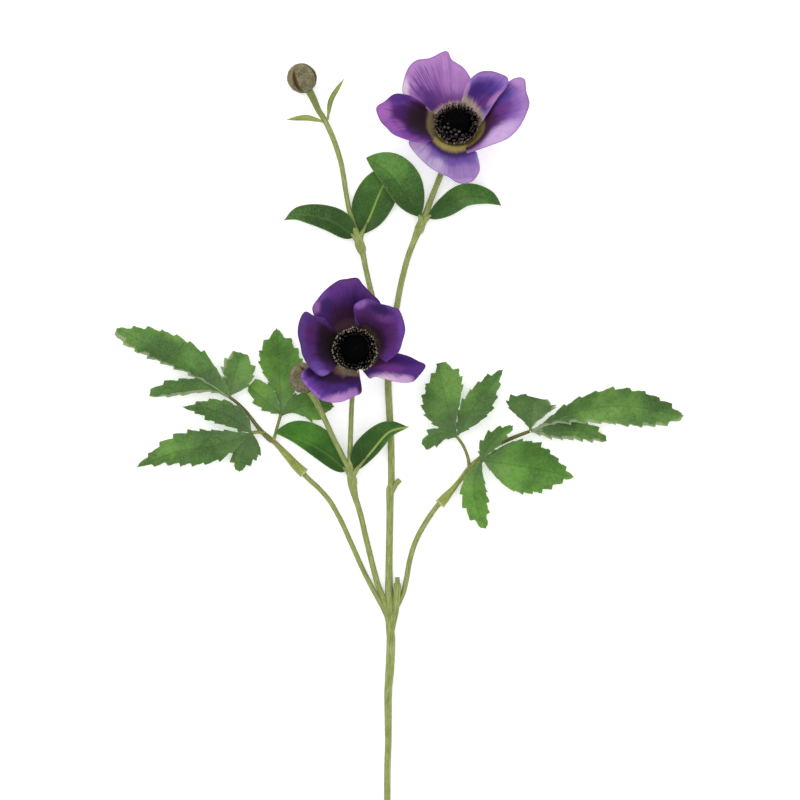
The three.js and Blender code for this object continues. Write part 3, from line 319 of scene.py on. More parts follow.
# Compound leaves: the stalk and its twigs, as [x, y, z, radius], and the leaflets of each blade. hem
# is 1 or -1 where the lower margin, on that side of the rib, is turned up and shows its pale face.
STALKS = {
    "left_leaf": [
        [[-46.8, 72, 3.2, 2.9], [-50.6, 75.4, 3.2, 2.6], [-57.5, 83, 3, 1.9], [-63.3, 89.2, 2.8, 1.35],
         [-66, 91, 2.8, 1.6], [-72, 96.9, 2.9, 1.2], [-78.5, 105.4, 3.3, 0.95], [-83.4, 110.5, 3.8, 0.9],
         [-88.5, 114.5, 4.4, 0.9]],
        [[-64, 90.5, 2.8, 1.1], [-62.5, 96, 2.4, 0.85], [-60, 105, 2.4, 0.85]],
        [[-69, 94.5, 2.9, 1.1], [-72.5, 95, 3.7, 1], [-76.5, 94.5, 4.6, 0.9]],
    ],
    "right_leaf": [
        [[28, 55, 3.2, 2.8], [31, 58.5, 3.2, 2.5], [35, 63, 3, 1.7], [39, 68, 2.8, 1.3],
         [44.5, 75, 2.8, 1.5], [49, 79.5, 2.9, 1.2], [57, 86, 3.2, 1.1], [66.5, 91, 3.8, 1.1],
         [78, 95.5, 4.6, 0.9]],
        [[44.5, 75, 2.8, 1.1], [43.5, 81.5, 3.2, 0.85], [41, 87.5, 3.8, 0.85], [37.5, 92.5, 4.4, 0.85]],
        [[46, 76.5, 2.9, 1], [49, 78, 4.8, 0.95], [51.5, 79, 6.4, 0.85]],
    ],
}
BLADES = {
    "left_leaf_blade_end": dict(tones=MIDDLE_GREEN, hem=1, leaflets=[
        dict(rib=[[-88.5, 114.5, 4.8], [-110, 130, 7.6], [-131, 142, 5.8], [-151, 152.5, 0.6]],
             wide=(6.8, 13), peak=(0.76, 0.44), fold=(20, 12), teeth=9),
        dict(rib=[[-88.5, 114.5, 4.6], [-99, 118.5, 5.2], [-116, 117, 4.2], [-133, 115, 1.2]],
             wide=(2, 8), peak=(0.6, 0.62), fold=(30, 10), teeth=6),
        dict(rib=[[-89, 114.5, 4.6], [-85.5, 126.5, 6], [-82, 139, 5]],
             wide=(8, 11), peak=(0.62, 0.54), fold=(8, 8), teeth=5),
    ]),
    "left_leaf_blade_side": dict(tones=MIDDLE_GREEN, hem=0, leaflets=[
        dict(rib=[[-76, 94.5, 5], [-88, 103.5, 6.6], [-101, 108, 6], [-114.5, 109, 3.6]],
             wide=(7, 8.4), peak=(0.45, 0.35), fold=(8, 8), teeth=6, slope=(2.2, 2.2)),
        dict(rib=[[-76, 94, 5], [-96.5, 87.5, 7.4], [-117.5, 84, 5.6], [-140, 75.5, 0.5]],
             wide=(9.6, 10.5), peak=(0.44, 0.48), fold=(8, 8), teeth=9, slope=(2.5, 1.9)),
        dict(rib=[[-76, 94, 5], [-80.5, 84, 4.8], [-83, 73, 3]],
             wide=(9.5, 7), peak=(0.35, 0.5), fold=(8, 8), teeth=5),
    ]),
    "left_leaf_blade_inner": dict(tones=BRIGHT, hem=0, leaflets=[
        dict(rib=[[-60, 104.5, 2.6], [-61, 129, 3], [-62.5, 152.5, 1.2]],
             wide=(11.2, 13.8), peak=(0.63, 0.52), fold=(4, 4), teeth=8, slope=(3.5, 2.4)),
        dict(rib=[[-60, 105, 2.6], [-67.5, 111.5, 3], [-78, 120.3, 2.4]],
             wide=(5.5, 9), peak=(0.55, 0.66), fold=(4, 4), teeth=4),
        dict(rib=[[-60, 104.5, 2.6], [-46, 109.5, 2.8], [-30.5, 109, 1.6]],
             wide=(8.3, 9), peak=(0.44, 0.6), fold=(4, 4), teeth=5, slope=(1.7, 4)),
    ]),
    "right_leaf_blade_end": dict(tones=MIDDLE_GREEN, hem=-1, leaflets=[
        dict(rib=[[78.5, 95.5, 5], [97.5, 104.5, 7.4], [121, 109.2, 7.8], [143, 108, 5.4], [163.5, 104, 0.5]],
             wide=(10.4, 11.2), peak=(0.58, 0.64), fold=(8, 12), teeth=11, slope=(2.6, 2.2)),
        dict(rib=[[78.5, 95.5, 5], [92, 96, 5.6], [106.5, 95.5, 4.4], [120.5, 90, 2]],
             wide=(6, 6), peak=(0.6, 0.5), fold=(8, 8), teeth=7),
        dict(rib=[[78.2, 96, 5], [78.4, 104, 7.4], [79, 110, 8.4], [80, 114.3, 8.8]],
             wide=(14.3, 13), peak=(0.63, 0.7), fold=(4, 8), teeth=6, slope=(2.2, 1.7), tip=(6, 8)),
    ]),
    "right_leaf_blade_side": dict(tones=BRIGHT, hem=0, leaflets=[
        dict(rib=[[51.5, 79.5, 6.8], [68, 77, 8.2], [85, 74, 5.8], [102.5, 70, 0.5]],
             wide=(15.3, 15.3), peak=(0.44, 0.46), fold=(5, 5), teeth=10, slope=(2.3, 2.3)),
        dict(rib=[[51.5, 79.5, 6.8], [54, 86.5, 8.4], [60.5, 93.5, 9], [68.5, 98.5, 8.2]],
             wide=(5.2, 5.2), peak=(0.45, 0.5), fold=(8, 8), teeth=5),
        dict(rib=[[51, 79, 6.8], [47, 67.5, 6.8], [48.5, 54.5, 5.2], [53.5, 41.5, 2.4]],
             wide=(7.5, 8), peak=(0.5, 0.5), fold=(8, 8), teeth=6),
    ]),
    "right_leaf_blade_inner": dict(tones=MIDDLE_GREEN, hem=0, leaflets=[
        dict(rib=[[37.5, 93, 4.8], [33, 107, 7], [29.5, 120, 7], [27, 133, 4.4]],
             wide=(14.2, 12), peak=(0.42, 0.68), fold=(6, 6), teeth=8, slope=(2.5, 2.2), tip=(1, 3.5)),
        dict(rib=[[38, 93.5, 4.8], [45, 106, 6.6], [53.5, 117.5, 6.4], [63, 129.5, 4]],
             wide=(8, 9.4), peak=(0.48, 0.45), fold=(6, 6), teeth=7, slope=(1.7, 2.2)),
        dict(rib=[[37.5, 92.5, 4.8], [28, 94, 5.2], [18, 88.5, 4]],
             wide=(6, 4.5), peak=(0.64, 0.5), fold=(6, 6), teeth=4),
    ]),
}


# Curves and meshes


def spline(rows, t):
    """The values at t, from 0 to 1, on a smooth curve through rows of values."""
    steps = len(rows) - 1
    place = min(max(t, 0), 1) * steps
    i = min(int(place), steps - 1)
    w = place - i
    b, c = rows[i], rows[i + 1]
    a = rows[i - 1] if i > 0 else [2 * p - q for p, q in zip(b, c)]
    d = rows[i + 2] if i + 2 <= steps else [2 * q - p for p, q in zip(b, c)]
    found = []
    for before, here, there, after in zip(a, b, c, d):
        leave = (there - before) / 2
        arrive = (after - here) / 2
        curve = (2 * here - 2 * there + leave + arrive) * w**3
        found.append(curve + (3 * there - 3 * here - 2 * leave - arrive) * w**2 + leave * w + here)
    return found


def heading(rows, t):
    """The direction of that curve at t."""
    small = 1e-4
    ahead = Vector(spline(rows, t + small)[:3]) - Vector(spline(rows, t - small)[:3])
    return ahead.normalized()


def hump(t, peak, slope):
    """0 to 1 and back to 0 as t goes from 0 to 1, with its top at peak."""
    t = min(max(t, 0), 1)
    return (t / peak) ** (slope * peak) * ((1 - t) / (1 - peak)) ** (slope * (1 - peak))


def smooth(low, high, value):
    """0 below low, 1 above high and a smooth step between them."""
    t = min(max((value - low) / (high - low), 0), 1)
    return t * t * (3 - 2 * t)


def sphere_point(low, spin):
    """A direction, low radians from straight down."""
    return Vector((math.sin(low) * math.cos(spin), math.sin(low) * math.sin(spin), -math.cos(low)))


class Shape:
    """One piece's mesh as it grows. A point has a mark, three numbers that its material reads, and
    a shade, one more."""

    def __init__(self):
        self.points = []
        self.marks = []
        self.shades = []
        self.faces = []
        self.paints = []

    def add(self, points, faces, shades, paint=0, marks=None):
        start = len(self.points)
        self.points += points
        self.marks += marks or [(0, 0, 0)] * len(points)
        self.shades += shades
        self.faces += [[start + corner for corner in face] for face in faces]
        self.paints += [paint] * len(faces)

    def sheet(self, grid, marks, thick):
        """A thin closed sheet on both sides of a grid. Its shade is 0 on top and 1 underneath."""
        end, last = len(grid) - 1, len(grid[0]) - 1
        points = []
        for side in (1, -1):
            for i, row in enumerate(grid):
                for j, point in enumerate(row):
                    down = grid[min(i + 1, end)][j] - grid[max(i - 1, 0)][j]
                    across = row[min(j + 1, last)] - row[max(j - 1, 0)]
                    points.append(point + down.cross(across).normalized() * side * thick / 2)
        at = lambda side, i, j: (side * (end + 1) + i) * (last + 1) + j
        faces = []
        for i in range(end):
            for j in range(last):
                faces.append((at(0, i, j), at(0, i + 1, j), at(0, i + 1, j + 1), at(0, i, j + 1)))
                faces.append((at(1, i, j), at(1, i, j + 1), at(1, i + 1, j + 1), at(1, i + 1, j)))
            faces.append((at(0, i, 0), at(1, i, 0), at(1, i + 1, 0), at(0, i + 1, 0)))
            faces.append((at(0, i, last), at(0, i + 1, last), at(1, i + 1, last), at(1, i, last)))
        for j in range(last):
            faces.append((at(0, 0, j), at(0, 0, j + 1), at(1, 0, j + 1), at(1, 0, j)))
            faces.append((at(0, end, j), at(1, end, j), at(1, end, j + 1), at(0, end, j + 1)))
        flat = [mark for row in marks for mark in row]
        self.add(points, faces, [0] * len(flat) + [1] * len(flat), marks=flat + flat)

    def tube(self, rows, sides, step=TUBE_STEP, paint=0, shade=lambda point: 0, bumps=None):
        """A round stalk through [x, y, z, radius] rows. Its mark is the place in the section and
        the length along the stalk. bumps(along, turn) is added to its radius."""
        stops = [0]
        for i in range(len(rows) - 1):
            parts = max(1, round(math.dist(rows[i][:3], rows[i + 1][:3]) / step))
            stops += [(i + (k + 1) / parts) / (len(rows) - 1) for k in range(parts)]
        points, marks, shades, faces = [], [], [], []
        up = UP
        along = 0
        before = None
        for t in stops:
            *place, radius = spline(rows, t)
            centre = Vector(place)
            along += (centre - before).length if before else 0
            before = centre
            ahead = heading(rows, t)
            side = up.cross(ahead).normalized()
            up = ahead.cross(side).normalized()
            for k in range(sides):
                turn = (k + 0.5) / sides * FULL_TURN
                out = side * math.cos(turn) + up * math.sin(turn)
                points.append(centre + out * (radius + (bumps(along, turn) if bumps else 0)))
                marks.append((radius * math.cos(turn), radius * math.sin(turn), along))
                shades.append(shade(centre))
        last_ring = (len(stops) - 1) * sides
        for start in range(0, last_ring, sides):
            for k in range(sides):
                a, b = start + k, start + (k + 1) % sides
                faces.append((a, b, b + sides, a + sides))
        faces.append(tuple(reversed(range(sides))))
        faces.append(tuple(last_ring + k for k in range(sides)))
        self.add(points, faces, shades, paint, marks)

    def ball(self, centre, turn, size, sides, rings, shade=0, paint=0):
        """An ellipsoid with the half sizes in size, turned by a matrix."""
        points = [centre + turn @ Vector((0, 0, -size[2]))]
        for i in range(1, rings):
            for k in range(sides):
                place = sphere_point(math.pi * i / rings, FULL_TURN * k / sides)
                points.append(centre + turn @ Vector([p * s for p, s in zip(place, size)]))
        points.append(centre + turn @ Vector((0, 0, size[2])))
        faces = []
        top = len(points) - 1
        for k in range(sides):
            after = (k + 1) % sides
            faces.append((0, 1 + after, 1 + k))
            faces.append((top, 1 + (rings - 2) * sides + k, 1 + (rings - 2) * sides + after))
            for i in range(rings - 2):
                a, b = 1 + i * sides + k, 1 + i * sides + after
                faces.append((a, b, b + sides, a + sides))
        self.add(points, faces, [shade] * len(points), paint)


def add_object(name, data):
    made = bpy.data.objects.new(name, data)
    bpy.context.collection.objects.link(made)
    return made


def make_piece(node, shape, slot, *materials):
    """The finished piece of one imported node. What dips under the surface is flattened on it."""
    mesh = bpy.data.meshes.new(node + "_finish")
    places = [(point + FORK) * MM for point in shape.points]
    mesh.from_pydata([(x, y, max(z, 0)) for x, y, z in places], [], shape.faces)
    mark = mesh.attributes.new("mark", "FLOAT_VECTOR", "POINT")
    mark.data.foreach_set("vector", [value for each in shape.marks for value in each])
    shade = mesh.attributes.new("shade", "FLOAT", "POINT")
    shade.data.foreach_set("value", shape.shades)
    for material in materials:
        mesh.materials.append(material)
    mesh.polygons.foreach_set("material_index", shape.paints)
    mesh.shade_smooth()
    mesh.set_sharp_from_angle(angle=math.radians(SHARP))
    piece = add_object(node + "_finish", mesh)
    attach(piece, "root")
    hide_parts(node)


# Materials


def rgb(*levels):
    """An sRGB colour, 0 to 255, as the linear colour that a shader takes."""
    shares = [level / 255 for level in levels]
    return (*[v / 12.92 if v <= 0.04045 else ((v + 0.055) / 1.055) ** 2.4 for v in shares], 1)


class Paint:
    """A material with short calls for its nodes, and its colour as it grows."""

    def __init__(self, name, roughness, sheen=0, gloss=0.5):
        self.material = bpy.data.materials.new(name)
        self.material.use_nodes = True
        self.nodes = self.material.node_tree.nodes
        self.shader = self.nodes["Principled BSDF"]
        self.feed(self.shader, {"Roughness": roughness, "Sheen Weight": sheen, "Specular IOR Level": gloss})
        self.place = self.make("TexCoord", {}, "Object")
        self.mark = self.make("Attribute", {}, "Vector", attribute_name="mark")
        self.shade = self.make("Attribute", {}, "Fac", attribute_name="shade")
        self.colour = None

    def feed(self, node, values):
        """Links or sets inputs of a node, by name or number."""
        for key, value in values.items():
            if isinstance(value, bpy.types.NodeSocket):
                self.material.node_tree.links.new(value, node.inputs[key])
            else:
                node.inputs[key].default_value = value

    def make(self, kind, values, out=0, **settings):
        """One output of a new node."""
        node = self.nodes.new("ShaderNode" + kind)
        for key, value in settings.items():
            setattr(node, key, value)
        self.feed(node, values)
        return node.outputs[out]

    def split(self, vector):
        return self.make("SeparateXYZ", {0: vector}).node.outputs

    def join(self, x, y, z):
        return self.make("CombineXYZ", {0: x, 1: y, 2: z})

    def away(self, centre, half, turn):
        """The distance from an upright elliptic post, 1 on its side."""
        post = {"Location": centre, "Rotation": (0, 0, math.radians(turn)), "Scale": (*half, 1000)}
        moved = self.make("Mapping", {"Vector": self.place, **post}, "Vector", vector_type="TEXTURE")
        return self.make("VectorMath", {0: moved}, "Value", operation="LENGTH")

    def math(self, operation, *values):
        return self.make("Math", dict(enumerate(values)), operation=operation)

    def times(self, a, b):
        return self.math("MULTIPLY", a, b)

    def plus(self, a, b):
        return self.math("ADD", a, b)

    def minus(self, a, b):
        return self.math("SUBTRACT", a, b)

    def magnitude(self, value):
        return self.math("ABSOLUTE", value)

    def scaled(self, vector, sizes):
        return self.make("VectorMath", {0: vector, 1: sizes}, operation="MULTIPLY")

    def span(self, value, low, high, start=0, end=1):
        """value from low to high as start to end, with a smooth step."""
        limits = {"Value": value, "From Min": low, "From Max": high, "To Min": start, "To Max": end}
        return self.make("MapRange", limits, "Result", interpolation_type="SMOOTHSTEP")

    def noise(self, scale, detail=3, roughness=0.5, vector=None):
        values = {"Vector": vector or self.place, "Scale": scale, "Detail": detail, "Roughness": roughness}
        return self.make("TexNoise", values, "Fac")

    def mix(self, factor, a, b, blend="MIX"):
        return self.make("Mix", {0: factor, 6: a, 7: b}, 2, data_type="RGBA", blend_type=blend)

    def ramp(self, factor, stops):
        """The first coat: colours along a value, as [value, colour]."""
        stops = list(stops)
        self.colour = self.make("ValToRGB", {0: factor}, "Color")
        elements = self.colour.node.color_ramp.elements
        while len(elements) < len(stops):
            elements.new(0.5)
        for element, (position, tone) in zip(elements, stops):
            element.position = position
            element.color = rgb(*tone)

    def cover(self, tone, amount, blend="MIX"):
        """Lays a tone over the colour so far."""
        self.colour = self.mix(amount, self.colour, rgb(*tone), blend)

    def coat(self, tone, value, low, high, start, end, blend="MIX"):
        """The same, as much as start where value is low and as much as end where it is high."""
        self.cover(tone, self.span(value, low, high, start, end), blend)

    def bump(self, height, distance, strength, normal=None):
        values = {"Height": height, "Distance": distance, "Strength": strength}
        if normal:
            values["Normal"] = normal
        return self.make("Bump", values, "Normal")

    def finish(self, normal=None):
        self.feed(self.shader, {"Base Color": self.colour})
        if normal:
            self.feed(self.shader, {"Normal": normal})
        return self.material


# Petals
PETAL_GRID = (44, 60)
RIPPLE = 0.35
SLOW_WAVE = 9
FAST_WAVE = 23
RIM_CURL = 0.7
CURL_FROM = 0.82


def petal_paint(name, petal, flower, seed):
    """Silk in streaked zones, with rings round the stamens, thin dark lines, and spots of colour,
    painted highlight and painted shade.
    """
    paint = Paint(name, roughness=0.7, sheen=0.03, gloss=0.15)
    across, along, radius = paint.split(paint.mark)

    def streaked(wide, long, shift, detail, roughness):
        """Noise drawn out along the petal."""
        spot = paint.join(paint.times(across, wide), paint.times(along, long), seed + shift)
        return paint.noise(1, detail, roughness, spot)

    fine = streaked(44, 2, 7, 4, 0.6)
    thin = streaked(30, 1.5, 3, 2, 0.5)
    blots = paint.noise(330, 3, 0.6)
    feather = paint.minus(streaked(16, 1, 0, 3, 0.6), 0.5)
    # The zones darken near the centre and pale towards the rim, partly painted shade and painted highlight.
    paint.ramp(paint.plus(along, paint.times(feather, 0.22)), petal["zones"])
    uneven = paint.times(paint.plus(feather, paint.minus(blots, 0.5)), 0.45)
    # The spots are blotches of colour, painted highlights on lit rims and ridges, and painted shade in folds.
    for x, y, wide, long, turn, tone, strength in petal["dye_and_light_spots"]:
        centre = (Vector(flower["seat"]) + Vector((x, y, 0)) + FORK) * MM
        distance = paint.plus(paint.away(centre, (wide * MM, long * MM), turn), uneven)
        paint.coat(tone, distance, 0.45, 1.3, strength, 0)
    for where, wide, start, end, tone, strength in petal["lines"]:
        beside = paint.span(paint.magnitude(paint.minus(across, where)), 0.4 * wide, wide, strength, 0)
        middle, half = (start + end) / 2, (end - start) / 2
        ahead = paint.span(paint.magnitude(paint.minus(along, middle)), 0.5 * half, half, 1, 0)
        paint.cover(tone, paint.times(beside, paint.times(ahead, paint.span(thin, 0.44, 0.6))))
    reach = paint.plus(radius, paint.times(feather, petal["ragged"]))
    for tone, start, end in petal["rings"]:
        paint.coat(tone, reach, start, end, 1, 0)
    paint.coat((246, 231, 228), fine, 0.3, 0.7, 0.75, 0, "MULTIPLY")
    paint.coat((250, 240, 240), blots, 0.35, 0.65, 0.7, 0, "MULTIPLY")
    paint.coat((180, 170, 190), along, 0.97, 1, 0, 0.5, "MULTIPLY")
    paint.cover(flower["back"], paint.times(paint.shade, 0.75))
    weave = paint.noise(2600, 1)
    return paint.finish(paint.bump(weave, 0.00012, 0.4, paint.bump(fine, 0.0005, 0.45)))


def flower_frame(flower):
    """Turns a flower's own frame, with z along its axis, into the spray's."""
    w = Vector(flower["axis"]).normalized()
    u = Vector((0, 1, 0)).cross(w).normalized()
    return Matrix((u, w.cross(u), w)).transposed(), Vector(flower["seat"])


def petal_shape(flower, petal, seed):
    turn, seat = flower_frame(flower)
    axis = Vector(flower["axis"]).normalized()
    to_flower = turn.transposed()
    knots = []
    for x, y, high in petal["edge"]:
        knots.append(to_flower @ Vector((x, y, (high - x * axis.x - y * axis.y) / axis.z)))
    outward = sum(knots, Vector()) * Vector((1, 1, 0))
    outward.normalize()
    right = Vector((outward.y, -outward.x, 0))
    level, rise, belly = petal["level"], petal["rise"], petal["belly"]
    rows, cols = PETAL_GRID
    grid, marks = [], []
    for i in range(rows + 1):
        line, line_marks = [], []
        for j in range(cols + 1):
            across = 1 - 2 * j / cols
            inside = 1 - across**4
            claw = outward * CLAW_AT + right * across * CLAW_HALF
            tip = Vector(spline(knots, 1 - j / cols))
            reach = max(1, math.hypot(tip.x, tip.y) - FLOOR_R)
            point = claw.lerp(tip, i / rows)
            radius = math.hypot(point.x, point.y)
            climb = min(max((radius - FLOOR_R) / reach, 0), 1)
            floor = level[0] + (level[1] - level[0]) * (across + 1) / 2
            swell = belly[0] * inside * hump(climb, belly[1], BELLY_SLOPE)
            wave = RIPPLE * climb * math.sin(SLOW_WAVE * across + seed)
            wave += RIPPLE * climb * math.sin(FAST_WAVE * across + 2 * seed) / 3
            curl = RIM_CURL * smooth(CURL_FROM, 1, climb) * inside
            point.z = floor + (tip.z - floor) * climb**rise + swell + wave - curl
            line.append(turn @ point + seat)
            line_marks.append((across, i / rows, radius))
        grid.append(line)
        marks.append(line_marks)
    shape = Shape()
    shape.sheet(grid, marks, PETAL_THICK)
    return shape


for number, (node, petal) in enumerate(PETALS.items()):
    flower = FLOWERS[node.split("_petal_")[0]]
    seed = number % PETALS_EACH
    silk = petal_paint(node + "_silk", petal, flower, 3 * seed)
    make_piece(node, petal_shape(flower, petal, seed), flower["slot"], silk)


# Flower centres: a dark boss of beads behind a fence of filaments, with rings of stamens over it.
# Knobs are the fat glossy heads that lie together on one side.
BOSS_HIGH = 5.6
BOSS_AT = 6.6
BOSS_FOOT = ((0.3, 2.4), (2.4, 3.2), (5.2, 4.6))  # [height, radius]
BEADS = 260
BEAD_R = 0.62
BEADED = 1.15  # how far down from the top of the boss the beads go, in its half heights
DISC_HIGH = 2.9
DISC = (11, 11, 0.45)
FENCE = dict(count=116, foot=9.6, foot_high=2.6, reach=11.6, height=6.8, radius=0.36, uneven=1.2)
STAMENS = [
    dict(count=46, reach=9, height=9.2, tone=(0, 0.2)),
    dict(count=54, reach=10.8, height=9, tone=(0.05, 0.6)),
    dict(count=64, reach=12.4, height=7.8, tone=(0.3, 1)),
]
FILAMENT_R = 0.3
THREAD_STEP = 1.6
ASTRAY = dict(turn=0.3, out=0.6, top=0.9, side=0.5)  # turn is in steps of the ring
ANTHER = (0.38, 0.34, 0.62)
KNOB_FAN = (196, 300)  # degrees round the flower
KNOB_REACH = (4.6, 9.6)
KNOB_HIGH = 11.6
KNOB_SLOPE = 0.55
GOLDEN_SHARE = 0.618
GOLDEN_TURN = math.pi * (3 - math.sqrt(5))


def dark_paint(name, dark, light, roughness, gloss):
    paint = Paint(name, roughness=roughness, gloss=gloss)
    mottle = paint.noise(1400, 2)
    amount = paint.span(paint.plus(paint.shade, paint.times(mottle, 0.5)), 0.3, 1.2)
    paint.colour = paint.mix(amount, rgb(*dark), rgb(*light))
    return paint.finish(paint.bump(mottle, 0.0002, 0.5))


class Centre(Shape):
    """The boss, fence, stamens and knobs of one flower."""

    def __init__(self, flower, seed):
        super().__init__()
        self.chance = random.Random(seed)
        self.turn, self.seat = flower_frame(flower)
        self.drift = Vector((*flower["drift"], 0))
        self.spread = flower["spread"]
        self.boss(flower["boss"])
        self.fence()
        for ring in STAMENS:
            self.stamens(**ring, size=flower["size"])
        self.knobs(flower["knobs"])

    def upright(self, x, y, z):
        return self.turn @ Vector((x, y, z)) + self.seat

    def ringed(self, reach, spin, high):
        """A place on a ring round the axis, with the drift of its height."""
        place = Vector((reach * math.cos(spin), reach * math.sin(spin), high))
        return self.turn @ (place + self.drift * high) + self.seat

    def astray(self, what):
        return self.chance.uniform(-ASTRAY[what], ASTRAY[what])

    def spin(self, k, count):
        """Where the k-th of a ring stands, a little astray."""
        return (k + self.astray("turn")) / count * FULL_TURN

    def boss(self, wide):
        self.ball(self.upright(0, 0, BOSS_AT), self.turn, (wide, wide, BOSS_HIGH), 32, 16)
        for k in range(BEADS):
            high = 1 - BEADED * (k + 0.5) / BEADS
            out = math.sqrt(1 - high * high)
            spin = GOLDEN_TURN * k
            x, y = out * math.cos(spin) * wide, out * math.sin(spin) * wide
            size = BEAD_R * self.chance.uniform(0.8, 1.2)
            spot = self.upright(x, y, BOSS_AT + high * BOSS_HIGH)
            self.ball(spot, self.turn, (size, size, size), 7, 5, self.chance.uniform(0, 0.5))
        self.tube([[*self.upright(0, 0, high), radius] for high, radius in BOSS_FOOT], 16)
        self.ball(self.upright(0, 0, DISC_HIGH), self.turn, DISC, 48, 6, paint=1)

    def fence(self):
        foot, low = FENCE["foot"], FENCE["foot_high"]
        for k in range(FENCE["count"]):
            spin = self.spin(k, FENCE["count"])
            top = FENCE["height"] + self.chance.uniform(-FENCE["uneven"], FENCE["uneven"])
            path = []
            for share, wide in ((0, 1), (0.5, 1), (1, 0.7)):
                reach = foot + (FENCE["reach"] * self.spread - foot) * math.sqrt(share)
                path.append([*self.ringed(reach, spin, low + (top - low) * share), FENCE["radius"] * wide])
            self.tube(path, 5, step=THREAD_STEP, paint=1)

    def stamens(self, count, reach, height, tone, size):
        chance = self.chance
        for k in range(count):
            spin = self.spin(k, count)
            out = reach * self.spread + self.astray("out")
            top = height + self.astray("top")
            stray = self.astray("side")
            path = []
            for share, high, wide in ((0.38, 2.6, 1), (0.74, 3.6, 1), (0.95, 0.62 * top, 0.9), (1, top, 0.8)):
                bend = spin + stray * share / out
                path.append([*self.ringed(out * share, bend, high), FILAMENT_R * wide])
            self.tube(path, 5, step=THREAD_STEP, paint=1)
            tip = self.ringed(out, spin + stray / out, top + 0.3)
            lean = Matrix.Rotation(chance.uniform(0, math.pi), 3, "Z")
            lean = lean @ Matrix.Rotation(chance.uniform(0.3, 1.5), 3, "X")
            halves = [part * size * chance.uniform(0.85, 1.2) for part in ANTHER]
            self.ball(tip, self.turn @ lean, halves, 7, 6, chance.uniform(*tone), paint=2)

    def knobs(self, count):
        near, far = KNOB_REACH
        for k in range(count):
            spin = math.radians(KNOB_FAN[0] + (KNOB_FAN[1] - KNOB_FAN[0]) * (k * GOLDEN_SHARE % 1))
            reach = near + (far - near) * (k + 0.5) / count
            wide = self.chance.uniform(0.8, 1.2)
            place = self.ringed(reach, spin, KNOB_HIGH - KNOB_SLOPE * (reach - near))
            self.ball(place, self.turn, (wide, wide * 0.8, 0.8), 12, 9, self.chance.random(), paint=3)


for seed, (name, flower) in enumerate(FLOWERS.items()):
    make_piece(
        name + "_centre", Centre(flower, seed + 1), "flower_centre",
        dark_paint(name + "_boss", (5, 4, 5), (17, 14, 15), 0.9, 0.04),
        dark_paint(name + "_filament", (15, 11, 12), (40, 31, 28), 0.8, 0.08),
        dark_paint(name + "_anther", (26, 21, 20), flower["light"], 0.6, 0.2),
        dark_paint(name + "_knob", (20, 17, 17), (62, 54, 51), 0.3, 0.4),
    )


# Buds: balls of folded sepals with a short fuzz
SEPALS = 3
SEAM_DEPTH = 0.15
SEAM_WIND = 0.13
SEAM_SHARP = 14
SEPAL_STEP = 0.8
DENT = 0.25
BUD_GRID = (64, 120)
HAIRS = 2600
HAIR_LONG = 0.75
HAIR_R = 0.05
HAIR_LEAN = Vector((0, 0.9, 0))
HAIR_STRAY = 0.35
BARE_SEAM = 0.4
SKIN_TONES = [(0.3, (86, 82, 56)), (0.48, (116, 112, 82)), (0.6, (138, 132, 102)), (0.74, (152, 114, 74))]
FUZZ_TONES = [(0.35, (108, 102, 76)), (0.6, (150, 144, 116)), (0.75, (158, 124, 86))]


def bud_paint(name):
    paint = Paint(name, roughness=0.9, sheen=0.05, gloss=0.1)
    fleck = paint.noise(1500, 2)
    paint.ramp(paint.noise(260, 4, 0.65), SKIN_TONES)
    paint.coat((168, 162, 134), fleck, 0.5, 0.68, 0, 0.5)
    paint.coat((62, 58, 38), fleck, 0.32, 0.48, 0.5, 0)
    paint.coat((150, 100, 62), paint.shade, 0.02, 0.3, 0, 0.32)
    paint.coat((52, 50, 14), paint.shade, 0.22, 0.7, 0, 0.9)
    return paint.finish(paint.bump(fleck, 0.0005, 0.8))


def fuzz_paint(name):
    paint = Paint(name, roughness=0.9, sheen=0.05, gloss=0.08)
    paint.ramp(paint.noise(320, 3), FUZZ_TONES)
    return paint.finish()


def bud_surface(spot, turn):
    """Where a direction from a bud's middle meets its skin, and how deep in a seam that is."""
    wind = math.atan2(spot.z, spot.x) + turn + SEAM_WIND * spot.y
    level = math.sqrt(max(0, 1 - spot.y * spot.y))
    seam = abs(math.cos(SEPALS / 2 * wind)) ** SEAM_SHARP * level
    fold = (SEPALS / 2 * wind / math.pi) % 1
    radius = BUD_R * (1 - SEAM_DEPTH * seam) + SEPAL_STEP * (fold - 0.5) * level
    radius += DENT * noise.noise(spot * 2.5 + Vector((turn, 0, 0)))
    return Vector((spot.x * radius, spot.y * radius * BUD_LONG, spot.z * radius)), seam


def bud_shape(bud, seed):
    chance = random.Random(seed)
    scatter = lambda: Vector([chance.gauss(0, 1) for _ in range(3)])
    centre = Vector(bud["centre"])
    lean = Vector((0, 1, 0)).rotation_difference(Vector(bud["axis"]).normalized()).to_matrix()
    rings, sides = BUD_GRID
    points, shades, faces = [], [], []
    for i in range(rings + 1):
        for k in range(sides):
            spot = sphere_point(math.pi * i / rings, FULL_TURN * k / sides).xzy
            place, seam = bud_surface(spot, bud["turn"])
            points.append(centre + lean @ place)
            shades.append(seam)
            if i < rings:
                a, b = i * sides + k, i * sides + (k + 1) % sides
                faces.append((a, a + sides, b + sides, b))
    shape = Shape()
    shape.add(points, faces, shades)
    for _ in range(HAIRS):
        spot = scatter().normalized()
        root, seam = bud_surface(spot, bud["turn"])
        if seam > BARE_SEAM:
            continue
        way = (spot + HAIR_LEAN + scatter() * HAIR_STRAY).normalized()
        aside = way.orthogonal().normalized() * HAIR_R
        third = Matrix.Rotation(FULL_TURN / 3, 3, way)
        tip = root + way * HAIR_LONG * chance.uniform(0.5, 1.2)
        corners = [root + aside, root + third @ aside, root + third @ third @ aside, tip]
        corners = [centre + lean @ corner for corner in corners]
        shape.add(corners, [(0, 1, 3), (1, 2, 3), (2, 0, 3)], [0] * 4, paint=1)
    return shape


